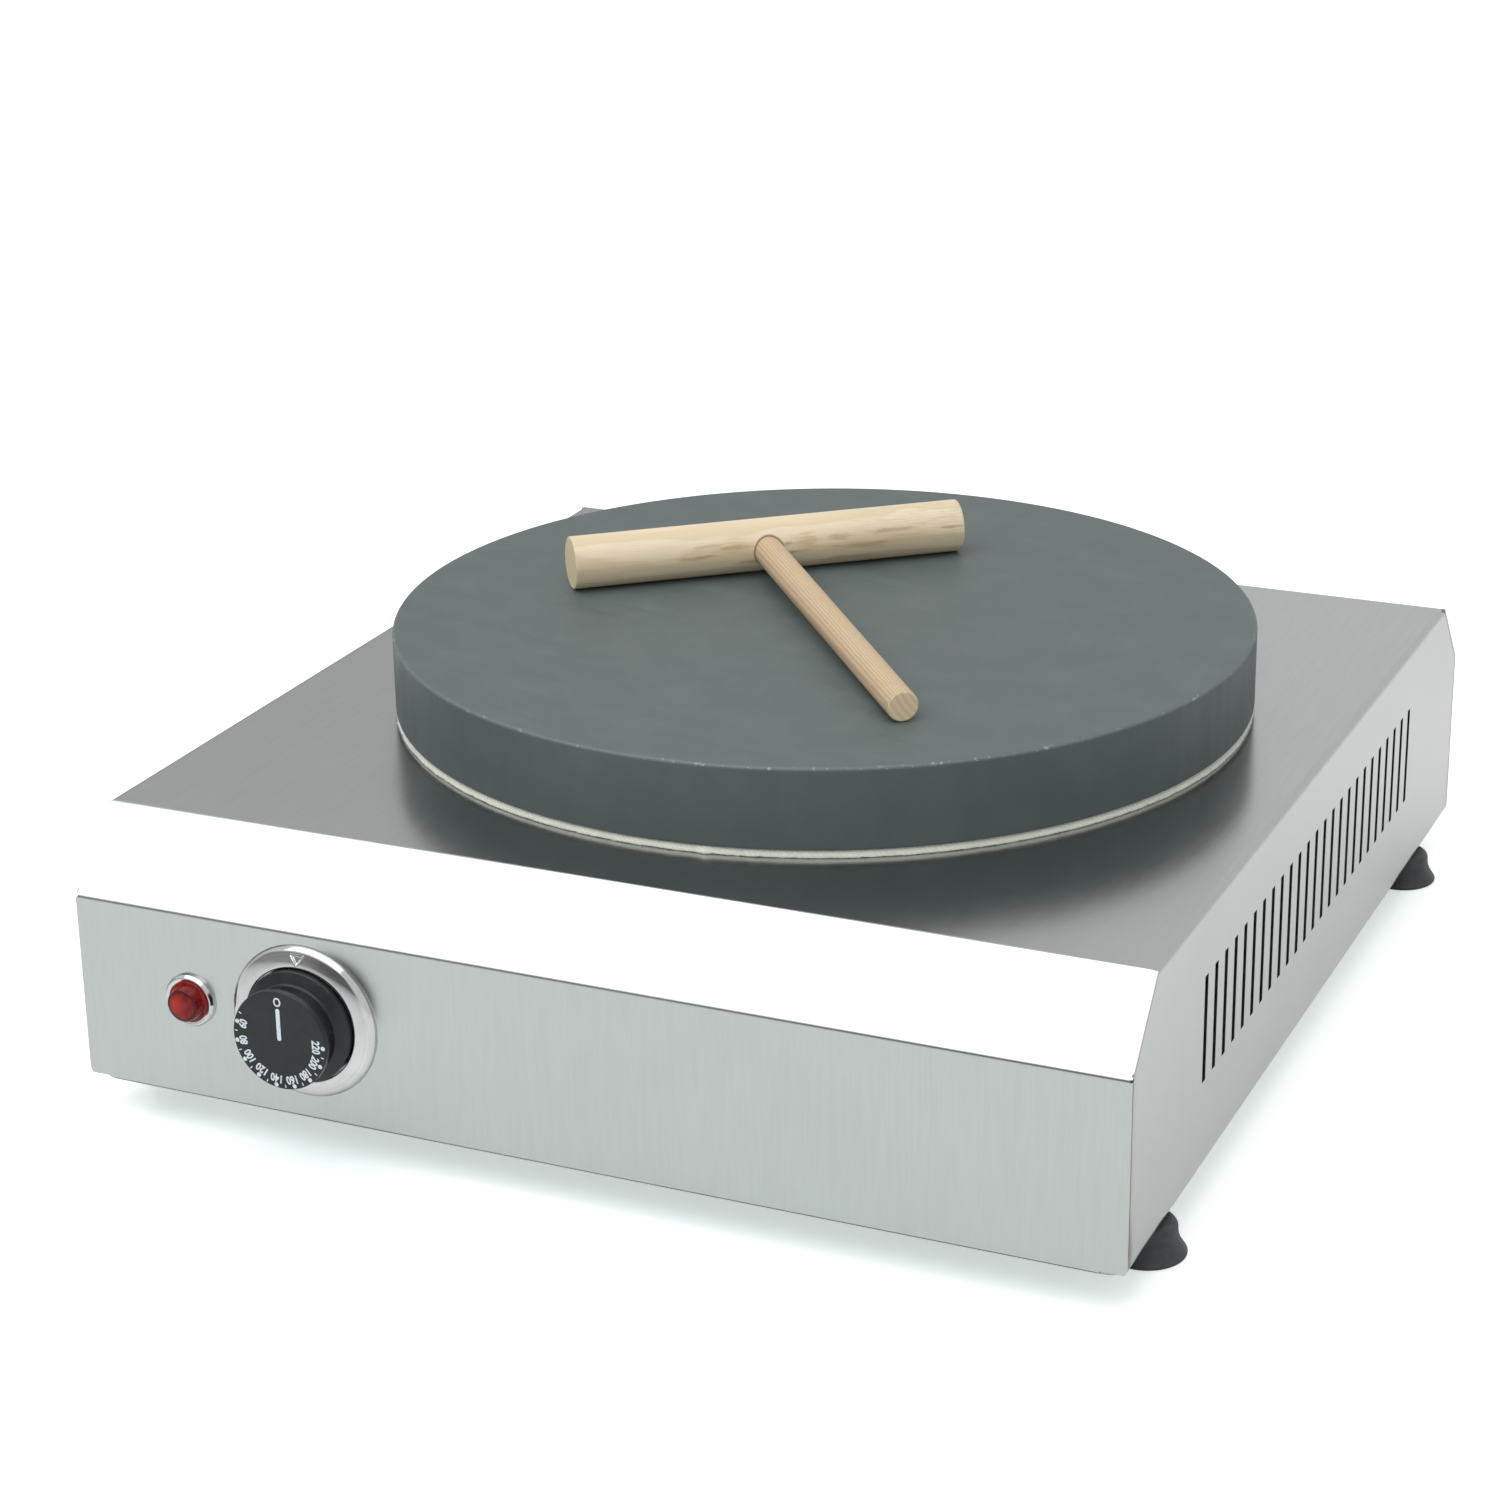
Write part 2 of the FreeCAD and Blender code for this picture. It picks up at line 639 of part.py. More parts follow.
def make_housing():
    shell = fused([folded_block(0).cut(folded_block(SHEET)), end_sheets()])
    window = box(
        vec(-BODY_WIDTH / 2 + FLANGE_WIDTH, -BODY_DEPTH / 2 + FLANGE_WIDTH, BODY_BOTTOM - SHEET),
        vec(BODY_WIDTH / 2 - FLANGE_WIDTH, BODY_DEPTH / 2 - FLANGE_WIDTH, BODY_BOTTOM + 2 * SHEET))
    panel_bore = 3 * SHEET
    cutters = [window]
    cutters.append(cylinder(TOP_OPENING_RADIUS, 3 * SHEET, plate_point(0, 0, BODY_TOP - 2 * SHEET)))
    cutters.append(cylinder(
        BUSHING_RADIUS + HOLE_GAP, panel_bore, vec(KNOB_X, FRONT - SHEET, CONTROL_LEVEL), INWARD))
    for place in control_screw_places(FRONT - SHEET):
        cutters.append(cylinder(CONTROL_SCREW_RADIUS + HOLE_GAP, panel_bore, place, INWARD))
    cutters.append(cylinder(
        LAMP_BARREL_RADIUS + HOLE_GAP, panel_bore, vec(LAMP_X, FRONT - SHEET, CONTROL_LEVEL), INWARD))
    cutters.append(cylinder(
        GLAND_THREAD_RADIUS + HOLE_GAP, panel_bore, vec(GLAND_X, REAR - 2 * SHEET, GLAND_LEVEL), INWARD))
    for place in foot_places().values():
        cutters.append(cylinder(FOOT_SCREW_RADIUS + HOLE_GAP, 3 * SHEET, place + UP * (BODY_BOTTOM - SHEET)))
    for place in cover_screw_places():
        cutters.append(cylinder(COVER_SCREW_RADIUS + THREAD_GAP, 3 * SHEET, place))
    cutters += side_slots()
    cutters += corner_reliefs()
    cutters += seam_cutters()
    return shell.cut(Part.makeCompound(cutters))


def make_base_cover():
    half_width = BODY_WIDTH / 2 - COVER_INSET
    half_depth = BODY_DEPTH / 2 - COVER_INSET
    plate = extruded(
        [
            (-half_width, -half_depth, COVER_CORNER_RADIUS),
            (half_width, -half_depth, COVER_CORNER_RADIUS),
            (half_width, half_depth, COVER_CORNER_RADIUS),
            (-half_width, half_depth, COVER_CORNER_RADIUS),
        ],
        lambda point: vec(point.x, point.y, FOOT_HEIGHT),
        UP * COVER_THICKNESS)
    cutters = []
    for side in (-1, 1):
        for index in range(COVER_SLOT_COUNT):
            y = (index - (COVER_SLOT_COUNT - 1) / 2) * COVER_SLOT_PITCH
            x = side * COVER_SLOT_OFFSET
            cutters.append(box(
                vec(x - COVER_SLOT_LENGTH / 2, y - COVER_SLOT_WIDTH / 2, FOOT_HEIGHT - COVER_THICKNESS),
                vec(x + COVER_SLOT_LENGTH / 2, y + COVER_SLOT_WIDTH / 2, BODY_BOTTOM + COVER_THICKNESS)))
    through = 3 * COVER_THICKNESS
    below = DOWN * COVER_THICKNESS
    for place in foot_places().values():
        cutters.append(cylinder(FOOT_SCREW_RADIUS + HOLE_GAP, through, place + UP * FOOT_HEIGHT + below))
    for place in cover_screw_places():
        cutters.append(cylinder(COVER_SCREW_RADIUS + HOLE_GAP, through, place + below))
    for place in block_screw_places():
        cutters.append(cylinder(BLOCK_SCREW_RADIUS + THREAD_GAP, through, place + below * 2))
    return plate.cut(Part.makeCompound(cutters))


def make_base_cover_screws():
    return Part.makeCompound([
        pan_head_screw(COVER_SCREW_RADIUS, COVER_SCREW_HEAD_RADIUS, COVER_SCREW_HEAD_HEIGHT,
                       COVER_SCREW_LENGTH, place, UP)
        for place in cover_screw_places()])


def make_foot(place):
    bore = FOOT_SCREW_RADIUS + HOLE_GAP
    return turned([
        (FOOT_RECESS_RADIUS, 0, 0),
        (FOOT_BASE_RADIUS, 0, FOOT_RIM_RADIUS),
        (FOOT_NECK_RADIUS, FOOT_NECK_HEIGHT, FOOT_FLARE_RADIUS),
        (FOOT_NECK_RADIUS, FOOT_HEIGHT, FOOT_SHOULDER_RADIUS),
        (bore, FOOT_HEIGHT, 0),
        (bore, FOOT_RECESS_DEPTH, 0),
        (FOOT_RECESS_RADIUS, FOOT_RECESS_DEPTH, 0),
    ], place)


def make_foot_screws():
    nut_bottom = BODY_BOTTOM + SHEET
    length = nut_bottom + FOOT_NUT_HEIGHT + FOOT_SCREW_TIP - FOOT_RECESS_DEPTH
    return Part.makeCompound([
        pan_head_screw(FOOT_SCREW_RADIUS, FOOT_SCREW_HEAD_RADIUS, FOOT_SCREW_HEAD_HEIGHT,
                       length, place + UP * FOOT_RECESS_DEPTH, UP)
        for place in foot_places().values()])


def make_foot_nuts():
    level = BODY_BOTTOM + SHEET
    return Part.makeCompound([
        nut(FOOT_NUT_WIDTH, FOOT_NUT_HEIGHT, FOOT_SCREW_RADIUS + THREAD_GAP, place + UP * level)
        for place in foot_places().values()])


def make_hotplate():
    recess_radius = PLATE_RADIUS - PLATE_RIM_WIDTH
    disc = turned([
        (0, PLATE_UNDERSIDE, 0),
        (recess_radius, PLATE_UNDERSIDE, PLATE_RECESS_RADIUS),
        (recess_radius, PLATE_BOTTOM, PLATE_LOWER_RADIUS),
        (PLATE_RADIUS, PLATE_BOTTOM, PLATE_LOWER_RADIUS),
        (PLATE_RADIUS, PLATE_TOP, PLATE_EDGE_RADIUS),
        (0, PLATE_TOP, 0),
    ], plate_point(0, 0, 0))
    boss_bottom = PLATE_UNDERSIDE - BOSS_LENGTH
    bosses = [
        cylinder(BOSS_RADIUS, BOSS_LENGTH, place)
        for place in stud_places(boss_bottom)]
    blanks = [
        cylinder(STUD_RADIUS + THREAD_GAP, STUD_BITE + THREAD_GAP, place)
        for place in stud_places(boss_bottom)]
    return fused([disc] + bosses).cut(Part.makeCompound(blanks))


def make_gasket_ring():
    outer = PLATE_RADIUS - GASKET_SETBACK
    return washer(outer, outer - GASKET_WIDTH, GASKET_THICKNESS, plate_point(0, 0, BODY_TOP))


def leg_frame(loop_radius, side):
    """Where a heating loop ends: the arc's end point, its tangent and the leg's axis."""
    gap = LEG_SPACING / 2 + LEG_BEND_RADIUS
    away = math.degrees(math.asin(gap / loop_radius))
    angle = 90 - side * away
    end = around_plate(loop_radius, angle, TUBE_LEVEL)
    turn = math.radians(angle)
    tangent = vec(-math.sin(turn), math.cos(turn), 0) * side
    axis_point = end + tangent * LEG_BEND_RADIUS
    return angle, end, tangent, axis_point


def leg_places(loop_radius, z):
    places = []
    for side in (-1, 1):
        axis_point = leg_frame(loop_radius, side)[3]
        places.append(vec(axis_point.x, axis_point.y, z))
    return places


def leg_bottom():
    return SHIELD_BOTTOM - LEG_REACH


def make_heating_element(loop_radius):
    pieces = []
    angle_right = leg_frame(loop_radius, 1)[0]
    angle_left = leg_frame(loop_radius, -1)[0]
    start = around_plate(loop_radius, angle_left, TUBE_LEVEL)
    turn = math.radians(angle_left)
    tangent = vec(-math.sin(turn), math.cos(turn), 0)
    section = Part.Face(Part.Wire(Part.makeCircle(TUBE_RADIUS, start, tangent)))
    sweep = 360 - (angle_left - angle_right)
    pieces.append(section.revolve(plate_point(0, 0, TUBE_LEVEL), UP, sweep))
    for side in (-1, 1):
        _, end, tangent, axis_point = leg_frame(loop_radius, side)
        section = Part.Face(Part.Wire(Part.makeCircle(TUBE_RADIUS, end, tangent)))
        pivot = end + DOWN * LEG_BEND_RADIUS
        pieces.append(section.revolve(pivot, UP.cross(tangent), 90))
        straight = pivot.z - leg_bottom()
        top = vec(axis_point.x, axis_point.y, pivot.z)
        pieces.append(cylinder(TUBE_RADIUS, straight, top, DOWN))
        pieces.append(cylinder(PIN_RADIUS, PIN_LENGTH, top + DOWN * straight, DOWN))
    return fused(pieces)


def capillary_place(z):
    return plate_point(CAPILLARY_RISE_X, -BULB_OFFSET, z)


def leg_cutters(z, length):
    cutters = []
    for loop_radius in (OUTER_LOOP_RADIUS, INNER_LOOP_RADIUS):
        for place in leg_places(loop_radius, z):
            cutters.append(cylinder(TUBE_RADIUS + PASSAGE_GAP, length, place))
    return cutters


def make_element_clamp_plate():
    plate = cylinder(CLAMP_PLATE_RADIUS, CLAMP_PLATE_THICKNESS, plate_point(0, 0, CLAMP_PLATE_BOTTOM))
    low = CLAMP_PLATE_BOTTOM - CLAMP_PLATE_THICKNESS
    depth = 3 * CLAMP_PLATE_THICKNESS
    cutters = [cylinder(BOSS_RADIUS + PASSAGE_GAP, depth, place) for place in stud_places(low)]
    for loop_radius in (OUTER_LOOP_RADIUS, INNER_LOOP_RADIUS):
        for side in (-1, 1):
            _, end, tangent, axis_point = leg_frame(loop_radius, side)
            across = UP.cross(tangent) * (TUBE_RADIUS + PASSAGE_GAP)
            start = vec(end.x, end.y, low)
            finish = vec(axis_point.x, axis_point.y, low)
            outline = Part.makePolygon([
                start + across, finish + across, finish - across, start - across, start + across])
            cutters.append(Part.Face(outline).extrude(UP * depth))
            cutters.append(cylinder(TUBE_RADIUS + PASSAGE_GAP, depth, finish))
    cutters.append(cylinder(CAPILLARY_RADIUS + PASSAGE_GAP, depth, capillary_place(low)))
    return plate.cut(fused(cutters))


def make_plate_studs():
    top = PLATE_UNDERSIDE - BOSS_LENGTH + STUD_BITE
    return Part.makeCompound([
        cylinder(STUD_RADIUS, top - STUD_BOTTOM, place) for place in stud_places(STUD_BOTTOM)])


def make_clamp_washers():
    return Part.makeCompound([
        washer(CLAMP_WASHER_RADIUS, STUD_RADIUS + HOLE_GAP, CLAMP_WASHER_THICKNESS, place)
        for place in stud_places(CLAMP_NUT_TOP)])


def make_clamp_nuts():
    return Part.makeCompound([
        nut(M8_NUT_WIDTH, M8_NUT_HEIGHT, STUD_RADIUS + THREAD_GAP, place)
        for place in stud_places(CLAMP_NUT_BOTTOM)])


def make_insulation_disc():
    bottom = SHIELD_BOTTOM + PAN_SHEET
    height = CLAMP_NUT_BOTTOM - HOLE_GAP - bottom
    disc = cylinder(INSULATION_RADIUS, height, plate_point(0, 0, bottom))
    cutters = [cylinder(STUD_RADIUS + HOLE_GAP, height, place) for place in stud_places(bottom)]
    cutters += leg_cutters(bottom, height)
    cutters.append(cylinder(CAPILLARY_RADIUS + PASSAGE_GAP, height, capillary_place(bottom)))
    return disc.cut(Part.makeCompound(cutters))


def make_heat_shield_pan():
    pan = turned([
        (0, SHIELD_BOTTOM, 0),
        (PAN_WALL_RADIUS, SHIELD_BOTTOM, PAN_FOLD_RADIUS),
        (PAN_WALL_RADIUS, SHIELD_TOP - PAN_SHEET, PAN_SHEET),
        (PAN_FLANGE_RADIUS, SHIELD_TOP - PAN_SHEET, 0),
        (PAN_FLANGE_RADIUS, SHIELD_TOP, 0),
        (PAN_WALL_RADIUS - PAN_SHEET, SHIELD_TOP, 2 * PAN_SHEET),
        (PAN_WALL_RADIUS - PAN_SHEET, SHIELD_BOTTOM + PAN_SHEET, PAN_FOLD_RADIUS - PAN_SHEET),
        (0, SHIELD_BOTTOM + PAN_SHEET, 0),
    ], plate_point(0, 0, 0))
    low = SHIELD_BOTTOM - PAN_SHEET
    depth = 3 * PAN_SHEET
    cutters = [cylinder(STUD_RADIUS + HOLE_GAP, depth, place) for place in stud_places(low)]
    cutters += leg_cutters(low, depth)
    cutters.append(cylinder(CAPILLARY_RADIUS + PASSAGE_GAP, depth, capillary_place(low)))
    return pan.cut(Part.makeCompound(cutters))


def make_pan_washers():
    return Part.makeCompound([
        washer(PAN_WASHER_RADIUS, STUD_RADIUS + HOLE_GAP, PAN_WASHER_THICKNESS, place)
        for place in stud_places(PAN_NUT_TOP)])


def make_pan_nuts():
    return Part.makeCompound([
        nut(M8_NUT_WIDTH, M8_NUT_HEIGHT, STUD_RADIUS + THREAD_GAP, place)
        for place in stud_places(PAN_NUT_BOTTOM)])


def knob_axis(y):
    return vec(KNOB_X, y, CONTROL_LEVEL)


def make_thermostat_frame():
    """Steel front plate with the bushing that the shaft turns in."""
    half_size = vec(THERMOSTAT_WIDTH / 2, 0, THERMOSTAT_HEIGHT / 2)
    plate_end = FRONT_INSIDE + FRAME_PLATE
    plate = box(knob_axis(FRONT_INSIDE) - half_size, knob_axis(plate_end) + half_size)
    bushing_start = FRONT - BUSHING_REACH
    bushing = cylinder(BUSHING_RADIUS, plate_end - bushing_start, knob_axis(bushing_start), INWARD)
    bores = [cylinder(SHAFT_RADIUS + RUNNING_GAP, 2 * BUSHING_RADIUS, knob_axis(bushing_start), INWARD)]
    for place in control_screw_places(FRONT_INSIDE):
        bores.append(cylinder(CONTROL_SCREW_RADIUS + THREAD_GAP, FRAME_PLATE, place, INWARD))
    return fused([plate, bushing]).cut(Part.makeCompound(bores))


def thermostat_rear():
    return FRONT_INSIDE + FRAME_PLATE + THERMOSTAT_DEPTH


def make_thermostat_body():
    front = FRONT_INSIDE + FRAME_PLATE
    half_width = THERMOSTAT_WIDTH / 2
    half_height = THERMOSTAT_HEIGHT / 2
    block = extruded(
        [
            (KNOB_X - half_width, CONTROL_LEVEL - half_height, THERMOSTAT_CORNER_RADIUS),
            (KNOB_X + half_width, CONTROL_LEVEL - half_height, THERMOSTAT_CORNER_RADIUS),
            (KNOB_X + half_width, CONTROL_LEVEL + half_height, THERMOSTAT_CORNER_RADIUS),
            (KNOB_X - half_width, CONTROL_LEVEL + half_height, THERMOSTAT_CORNER_RADIUS),
        ],
        lambda point: vec(point.x, front, point.y),
        INWARD * THERMOSTAT_DEPTH)
    cutters = [cylinder(SHAFT_RADIUS + RUNNING_GAP, SHAFT_DEPTH, knob_axis(front), INWARD)]
    for place in control_screw_places(front):
        cutters.append(cylinder(CONTROL_SCREW_RADIUS + PASSAGE_GAP, CONTROL_SCREW_LENGTH, place, INWARD))
    return block.cut(Part.makeCompound(cutters))


def tab_places():
    return [vec(KNOB_X + side * TAB_SPACING / 2, thermostat_rear(), CONTROL_LEVEL) for side in (-1, 1)]


def make_thermostat_terminals():
    tabs = []
    for place in tab_places():
        half = vec(TAB_THICKNESS / 2, 0, TAB_WIDTH / 2)
        tabs.append(box(place - half, place + half + INWARD * TAB_LENGTH))
    return Part.makeCompound(tabs)


def make_thermostat_screws():
    seat = FRONT - BEZEL_SHEET
    return Part.makeCompound([
        pan_head_screw(CONTROL_SCREW_RADIUS, CONTROL_SCREW_HEAD_RADIUS, CONTROL_SCREW_HEAD_HEIGHT,
                       CONTROL_SCREW_LENGTH, place, INWARD)
        for place in control_screw_places(seat)])


def make_thermostat_shaft():
    start = KNOB_BACK - KNOB_BORE_DEPTH + HOLE_GAP
    end = FRONT_INSIDE + FRAME_PLATE + SHAFT_DEPTH - HOLE_GAP
    shaft = cylinder(SHAFT_RADIUS, end - start, knob_axis(start), INWARD)
    flat_end = FRONT - BUSHING_REACH - HOLE_GAP
    flat = box(
        vec(KNOB_X - SHAFT_RADIUS, start, CONTROL_LEVEL + SHAFT_RADIUS - SHAFT_FLAT),
        vec(KNOB_X + SHAFT_RADIUS, flat_end, CONTROL_LEVEL + 2 * SHAFT_RADIUS))
    return shaft.cut(flat)


def knob_ribs(front, rear):
    """A ring of small triangular ribs for the waist of the knob, rooted below its surface."""
    points = []
    for index in range(2 * RIB_COUNT):
        radius = KNOB_WAIST_RADIUS + (RIB_HEIGHT if index % 2 else -RIB_HEIGHT)
        angle = math.radians(180 * index / RIB_COUNT)
        points.append(knob_axis(front) + vec(radius * math.cos(angle), 0, radius * math.sin(angle)))
    points.append(points[0])
    return Part.Face(Part.makePolygon(points)).extrude(INWARD * (rear - front))


def make_control_knob():
    face = KNOB_FACE
    rim = face + KNOB_FACE_THICKNESS
    skirt = KNOB_BACK - KNOB_SKIRT_THICKNESS
    waist_start = rim + (KNOB_FACE_RADIUS - KNOB_WAIST_RADIUS)
    waist_end = skirt - KNOB_FLARE_LENGTH
    centre = knob_axis(0)
    body = turned([
        (0, face, 0),
        (KNOB_FACE_RADIUS, face, KNOB_EDGE_RADIUS),
        (KNOB_FACE_RADIUS, rim, KNOB_EDGE_RADIUS),
        (KNOB_WAIST_RADIUS, waist_start, KNOB_NECK_RADIUS),
        (KNOB_WAIST_RADIUS, waist_end, KNOB_FLARE_RADIUS),
        (KNOB_SKIRT_RADIUS, skirt, KNOB_EDGE_RADIUS),
        (KNOB_SKIRT_RADIUS, KNOB_BACK, KNOB_EDGE_RADIUS),
        (0, KNOB_BACK, 0),
    ], centre, INWARD)
    body = body.fuse(knob_ribs(rim + RIB_HEIGHT / 2, skirt))
    hollow_end = face + KNOB_TOP_WALL
    hollow = turned([
        (KNOB_BOSS_RADIUS, hollow_end, 0),
        (KNOB_WAIST_RADIUS - KNOB_WALL, hollow_end, 0),
        (KNOB_WAIST_RADIUS - KNOB_WALL, KNOB_BACK + KNOB_WALL, 0),
        (0, KNOB_BACK + KNOB_WALL, 0),
        (0, KNOB_BACK - KNOB_BOSS_SETBACK, 0),
        (KNOB_BOSS_RADIUS, KNOB_BACK - KNOB_BOSS_SETBACK, 0),
    ], centre, INWARD)
    bore_start = KNOB_BACK - KNOB_BORE_DEPTH
    bore = cylinder(SHAFT_RADIUS + THREAD_GAP, KNOB_BORE_DEPTH, knob_axis(bore_start), INWARD)
    flat = box(
        vec(KNOB_X - 2 * SHAFT_RADIUS, bore_start, CONTROL_LEVEL + SHAFT_RADIUS - SHAFT_FLAT + THREAD_GAP),
        vec(KNOB_X + 2 * SHAFT_RADIUS, KNOB_BACK, CONTROL_LEVEL + 2 * SHAFT_RADIUS))
    return body.cut(hollow).cut(bore.cut(flat)).removeSplitter()


def pointer_wire(y, start_width, tip_width, tip):
    """The pointer's outline at one depth, pointing down at the knob."""
    points = []
    for half, reach in ((-start_width / 2, POINTER_START), (-tip_width / 2, tip),
                        (tip_width / 2, tip), (start_width / 2, POINTER_START)):
        points.append(knob_axis(y) + vec(half, 0, reach))
    points.append(points[0])
    return Part.makePolygon(points)


def make_knob_bezel():
    """A pressed dish that the control screws clamp to the panel, with a pointer at its top."""
    bore = BUSHING_RADIUS + HOLE_GAP
    dish = turned([
        (bore, 0, 0),
        (bore, -BEZEL_SHEET, 0),
        (BEZEL_FLOOR, -BEZEL_SHEET, BEZEL_FLOOR_ROUNDING),
        (BEZEL_CREST, -BEZEL_HEIGHT, BEZEL_CREST_ROUNDING),
        (BEZEL_RADIUS, -BEZEL_SHEET, BEZEL_FOOT_ROUNDING),
        (BEZEL_RADIUS, 0, 0),
    ], knob_axis(FRONT), INWARD)
    spread = (BEZEL_CREST - BEZEL_FLOOR) / (BEZEL_HEIGHT - BEZEL_SHEET)
    hollow = turned(inset_corners([
        (BEZEL_FLOOR - 2 * BEZEL_SHEET * spread, BEZEL_SHEET, 0),
        (BEZEL_CREST, -BEZEL_HEIGHT, 0),
        (BEZEL_RADIUS, -BEZEL_SHEET, 0),
        (BEZEL_RADIUS, BEZEL_SHEET, 0),
    ], BEZEL_SHEET), knob_axis(FRONT), INWARD)
    holes = [
        cylinder(CONTROL_SCREW_RADIUS + HOLE_GAP, 3 * BEZEL_SHEET, place, INWARD)
        for place in control_screw_places(FRONT - 2 * BEZEL_SHEET)]
    top = pointer_wire(
        FRONT - BEZEL_HEIGHT + POINTER_TOP_DROP, POINTER_TOP_WIDTH, POINTER_TOP_TIP_WIDTH, POINTER_TIP)
    foot = pointer_wire(
        FRONT - BEZEL_SHEET, POINTER_FOOT_WIDTH, POINTER_FOOT_TIP_WIDTH, POINTER_FOOT_TIP)
    pointer = Part.makeLoft([top, foot], True, True)
    return dish.cut(Part.makeCompound([hollow] + holes)).fuse(pointer).removeSplitter()


def bulb_axis(x):
    return plate_point(x, -BULB_OFFSET, PLATE_UNDERSIDE - BULB_RADIUS)


def make_sensor_bulb():
    half = BULB_LENGTH / 2
    return turned([
        (0, -half, 0),
        (BULB_RADIUS, -half, BULB_END_RADIUS),
        (BULB_RADIUS, half, BULB_END_RADIUS),
        (0, half, 0),
    ], bulb_axis(0), RIGHT)


def make_bulb_springs():
    """Two arched strips that stand on the clamp plate and press the bulb up."""
    crown = PLATE_UNDERSIDE - 2 * BULB_RADIUS
    floor = CLAMP_PLATE_TOP
    half = BULB_SPRING_SPAN / 2
    springs = []
    for side in (-1, 1):
        x = side * BULB_SPRING_SPACING / 2 - BULB_SPRING_WIDTH / 2
        place = plate_point(x, -BULB_OFFSET, 0)
        outer = Part.Arc(vec(x, place.y - half, floor), vec(x, place.y, crown), vec(x, place.y + half, floor))
        inner_half = half - 2 * BULB_SPRING_SHEET
        inner = Part.Arc(
            vec(x, place.y + inner_half, floor),
            vec(x, place.y, crown - BULB_SPRING_SHEET),
            vec(x, place.y - inner_half, floor))
        first = Part.LineSegment(vec(x, place.y + half, floor), vec(x, place.y + inner_half, floor))
        last = Part.LineSegment(vec(x, place.y - inner_half, floor), vec(x, place.y - half, floor))
        wire = Part.Wire([outer.toShape(), first.toShape(), inner.toShape(), last.toShape()])
        springs.append(Part.Face(wire).extrude(RIGHT * BULB_SPRING_WIDTH))
    return Part.makeCompound(springs)


def tube(points, radius, bend_radius=None):
    """A round tube along straight runs joined by tangent arcs.

    Without a bend radius each arc takes up RUN_SHARE of its shorter run.
    """
    edges = []
    here = points[0]
    radii = []
    length = 0.0
    for index in range(1, len(points) - 1):
        corner = points[index]
        back = points[index - 1] - corner
        ahead = points[index + 1] - corner
        turn = math.pi - back.getAngle(ahead)
        arc_radius = bend_radius
        if arc_radius is None:
            arc_radius = RUN_SHARE * min(back.Length, ahead.Length) / math.tan(turn / 2)
        tangent = arc_radius * math.tan(turn / 2)
        back = back.normalize()
        ahead = ahead.normalize()
        start = corner + back * tangent
        end = corner + ahead * tangent
        inner = (back + ahead).normalize()
        middle = corner + inner * (arc_radius / math.cos(turn / 2) - arc_radius)
        edges.append(Part.LineSegment(here, start).toShape())
        edges.append(Part.Arc(start, middle, end).toShape())
        length += (start - here).Length + arc_radius * turn
        radii.append(arc_radius)
        here = end
    edges.append(Part.LineSegment(here, points[-1]).toShape())
    length += (points[-1] - here).Length
    path = Part.Wire(edges)
    section = Part.Wire(Part.makeCircle(radius, points[0], points[1] - points[0]))
    solid = path.makePipeShell([section], True, False)
    expected = math.pi * radius * radius * length
    return solid, radii, solid.Volume / expected


def capillary_route():
    start = vec(KNOB_X + THERMOSTAT_WIDTH / 4, thermostat_rear(), CONTROL_LEVEL - THERMOSTAT_HEIGHT / 4)
    rise = capillary_place(0)
    bulb_end = bulb_axis(-BULB_LENGTH / 2)
    level = start.z
    turn_y = (start.y + rise.y) / 2
    return [
        start,
        vec(start.x, turn_y, level),
        vec(rise.x, rise.y, level),
        vec(rise.x, rise.y, bulb_end.z),
        bulb_end,
    ]


def make_capillary_tube():
    return tube(capillary_route(), CAPILLARY_RADIUS, CAPILLARY_BEND)


def lamp_axis(y):
    return vec(LAMP_X, y, CONTROL_LEVEL)


def make_pilot_lens():
    step = LENS_FLANGE_HEIGHT
    tip = LENS_REACH - LENS_DOME
    return turned([
        (0, 0, 0),
        (LENS_BASE_RADIUS, 0, 0),
        (LENS_BASE_RADIUS, -step, LENS_LEDGE_HEIGHT),
        (LENS_BARREL_RADIUS, -step - LENS_LEDGE_HEIGHT, 0),
        (LENS_TIP_RADIUS, -tip, LENS_EDGE_RADIUS),
        (LENS_TIP_RADIUS * LENS_DOME_SHARE, -LENS_REACH, LENS_TIP_RADIUS),
        (0, -LENS_REACH, 0),
    ], lamp_axis(FRONT), INWARD)


def make_pilot_bezel():
    bore = LENS_BASE_RADIUS + HOLE_GAP
    return turned([
        (bore, 0, 0),
        (bore, -LAMP_BEZEL_HEIGHT + LAMP_BEZEL_EDGE, 0),
        (LAMP_BEZEL_RADIUS - LAMP_BEZEL_SLOPE, -LAMP_BEZEL_HEIGHT, LAMP_BEZEL_ROUNDING),
        (LAMP_BEZEL_RADIUS, -LAMP_BEZEL_HEIGHT / 2, LAMP_BEZEL_ROUNDING),
        (LAMP_BEZEL_RADIUS, 0, 0),
    ], lamp_axis(FRONT), INWARD)


def lamp_rear():
    return FRONT + LAMP_BARREL_LENGTH


def make_pilot_body():
    return cylinder(LAMP_BARREL_RADIUS, LAMP_BARREL_LENGTH, lamp_axis(FRONT), INWARD)


def make_pilot_nut():
    bore = LAMP_BARREL_RADIUS + THREAD_GAP
    return washer(LAMP_NUT_RADIUS, bore, LAMP_NUT_HEIGHT, lamp_axis(FRONT_INSIDE), INWARD)


def lamp_tab_places():
    return [vec(LAMP_X + side * LAMP_TAB_SPACING / 2, lamp_rear(), CONTROL_LEVEL) for side in (-1, 1)]


def make_pilot_terminals():
    tabs = []
    for place in lamp_tab_places():
        half = vec(TAB_THICKNESS / 2, 0, LAMP_TAB_WIDTH / 2)
        tabs.append(box(place - half, place + half + INWARD * TAB_LENGTH))
    return Part.makeCompound(tabs)


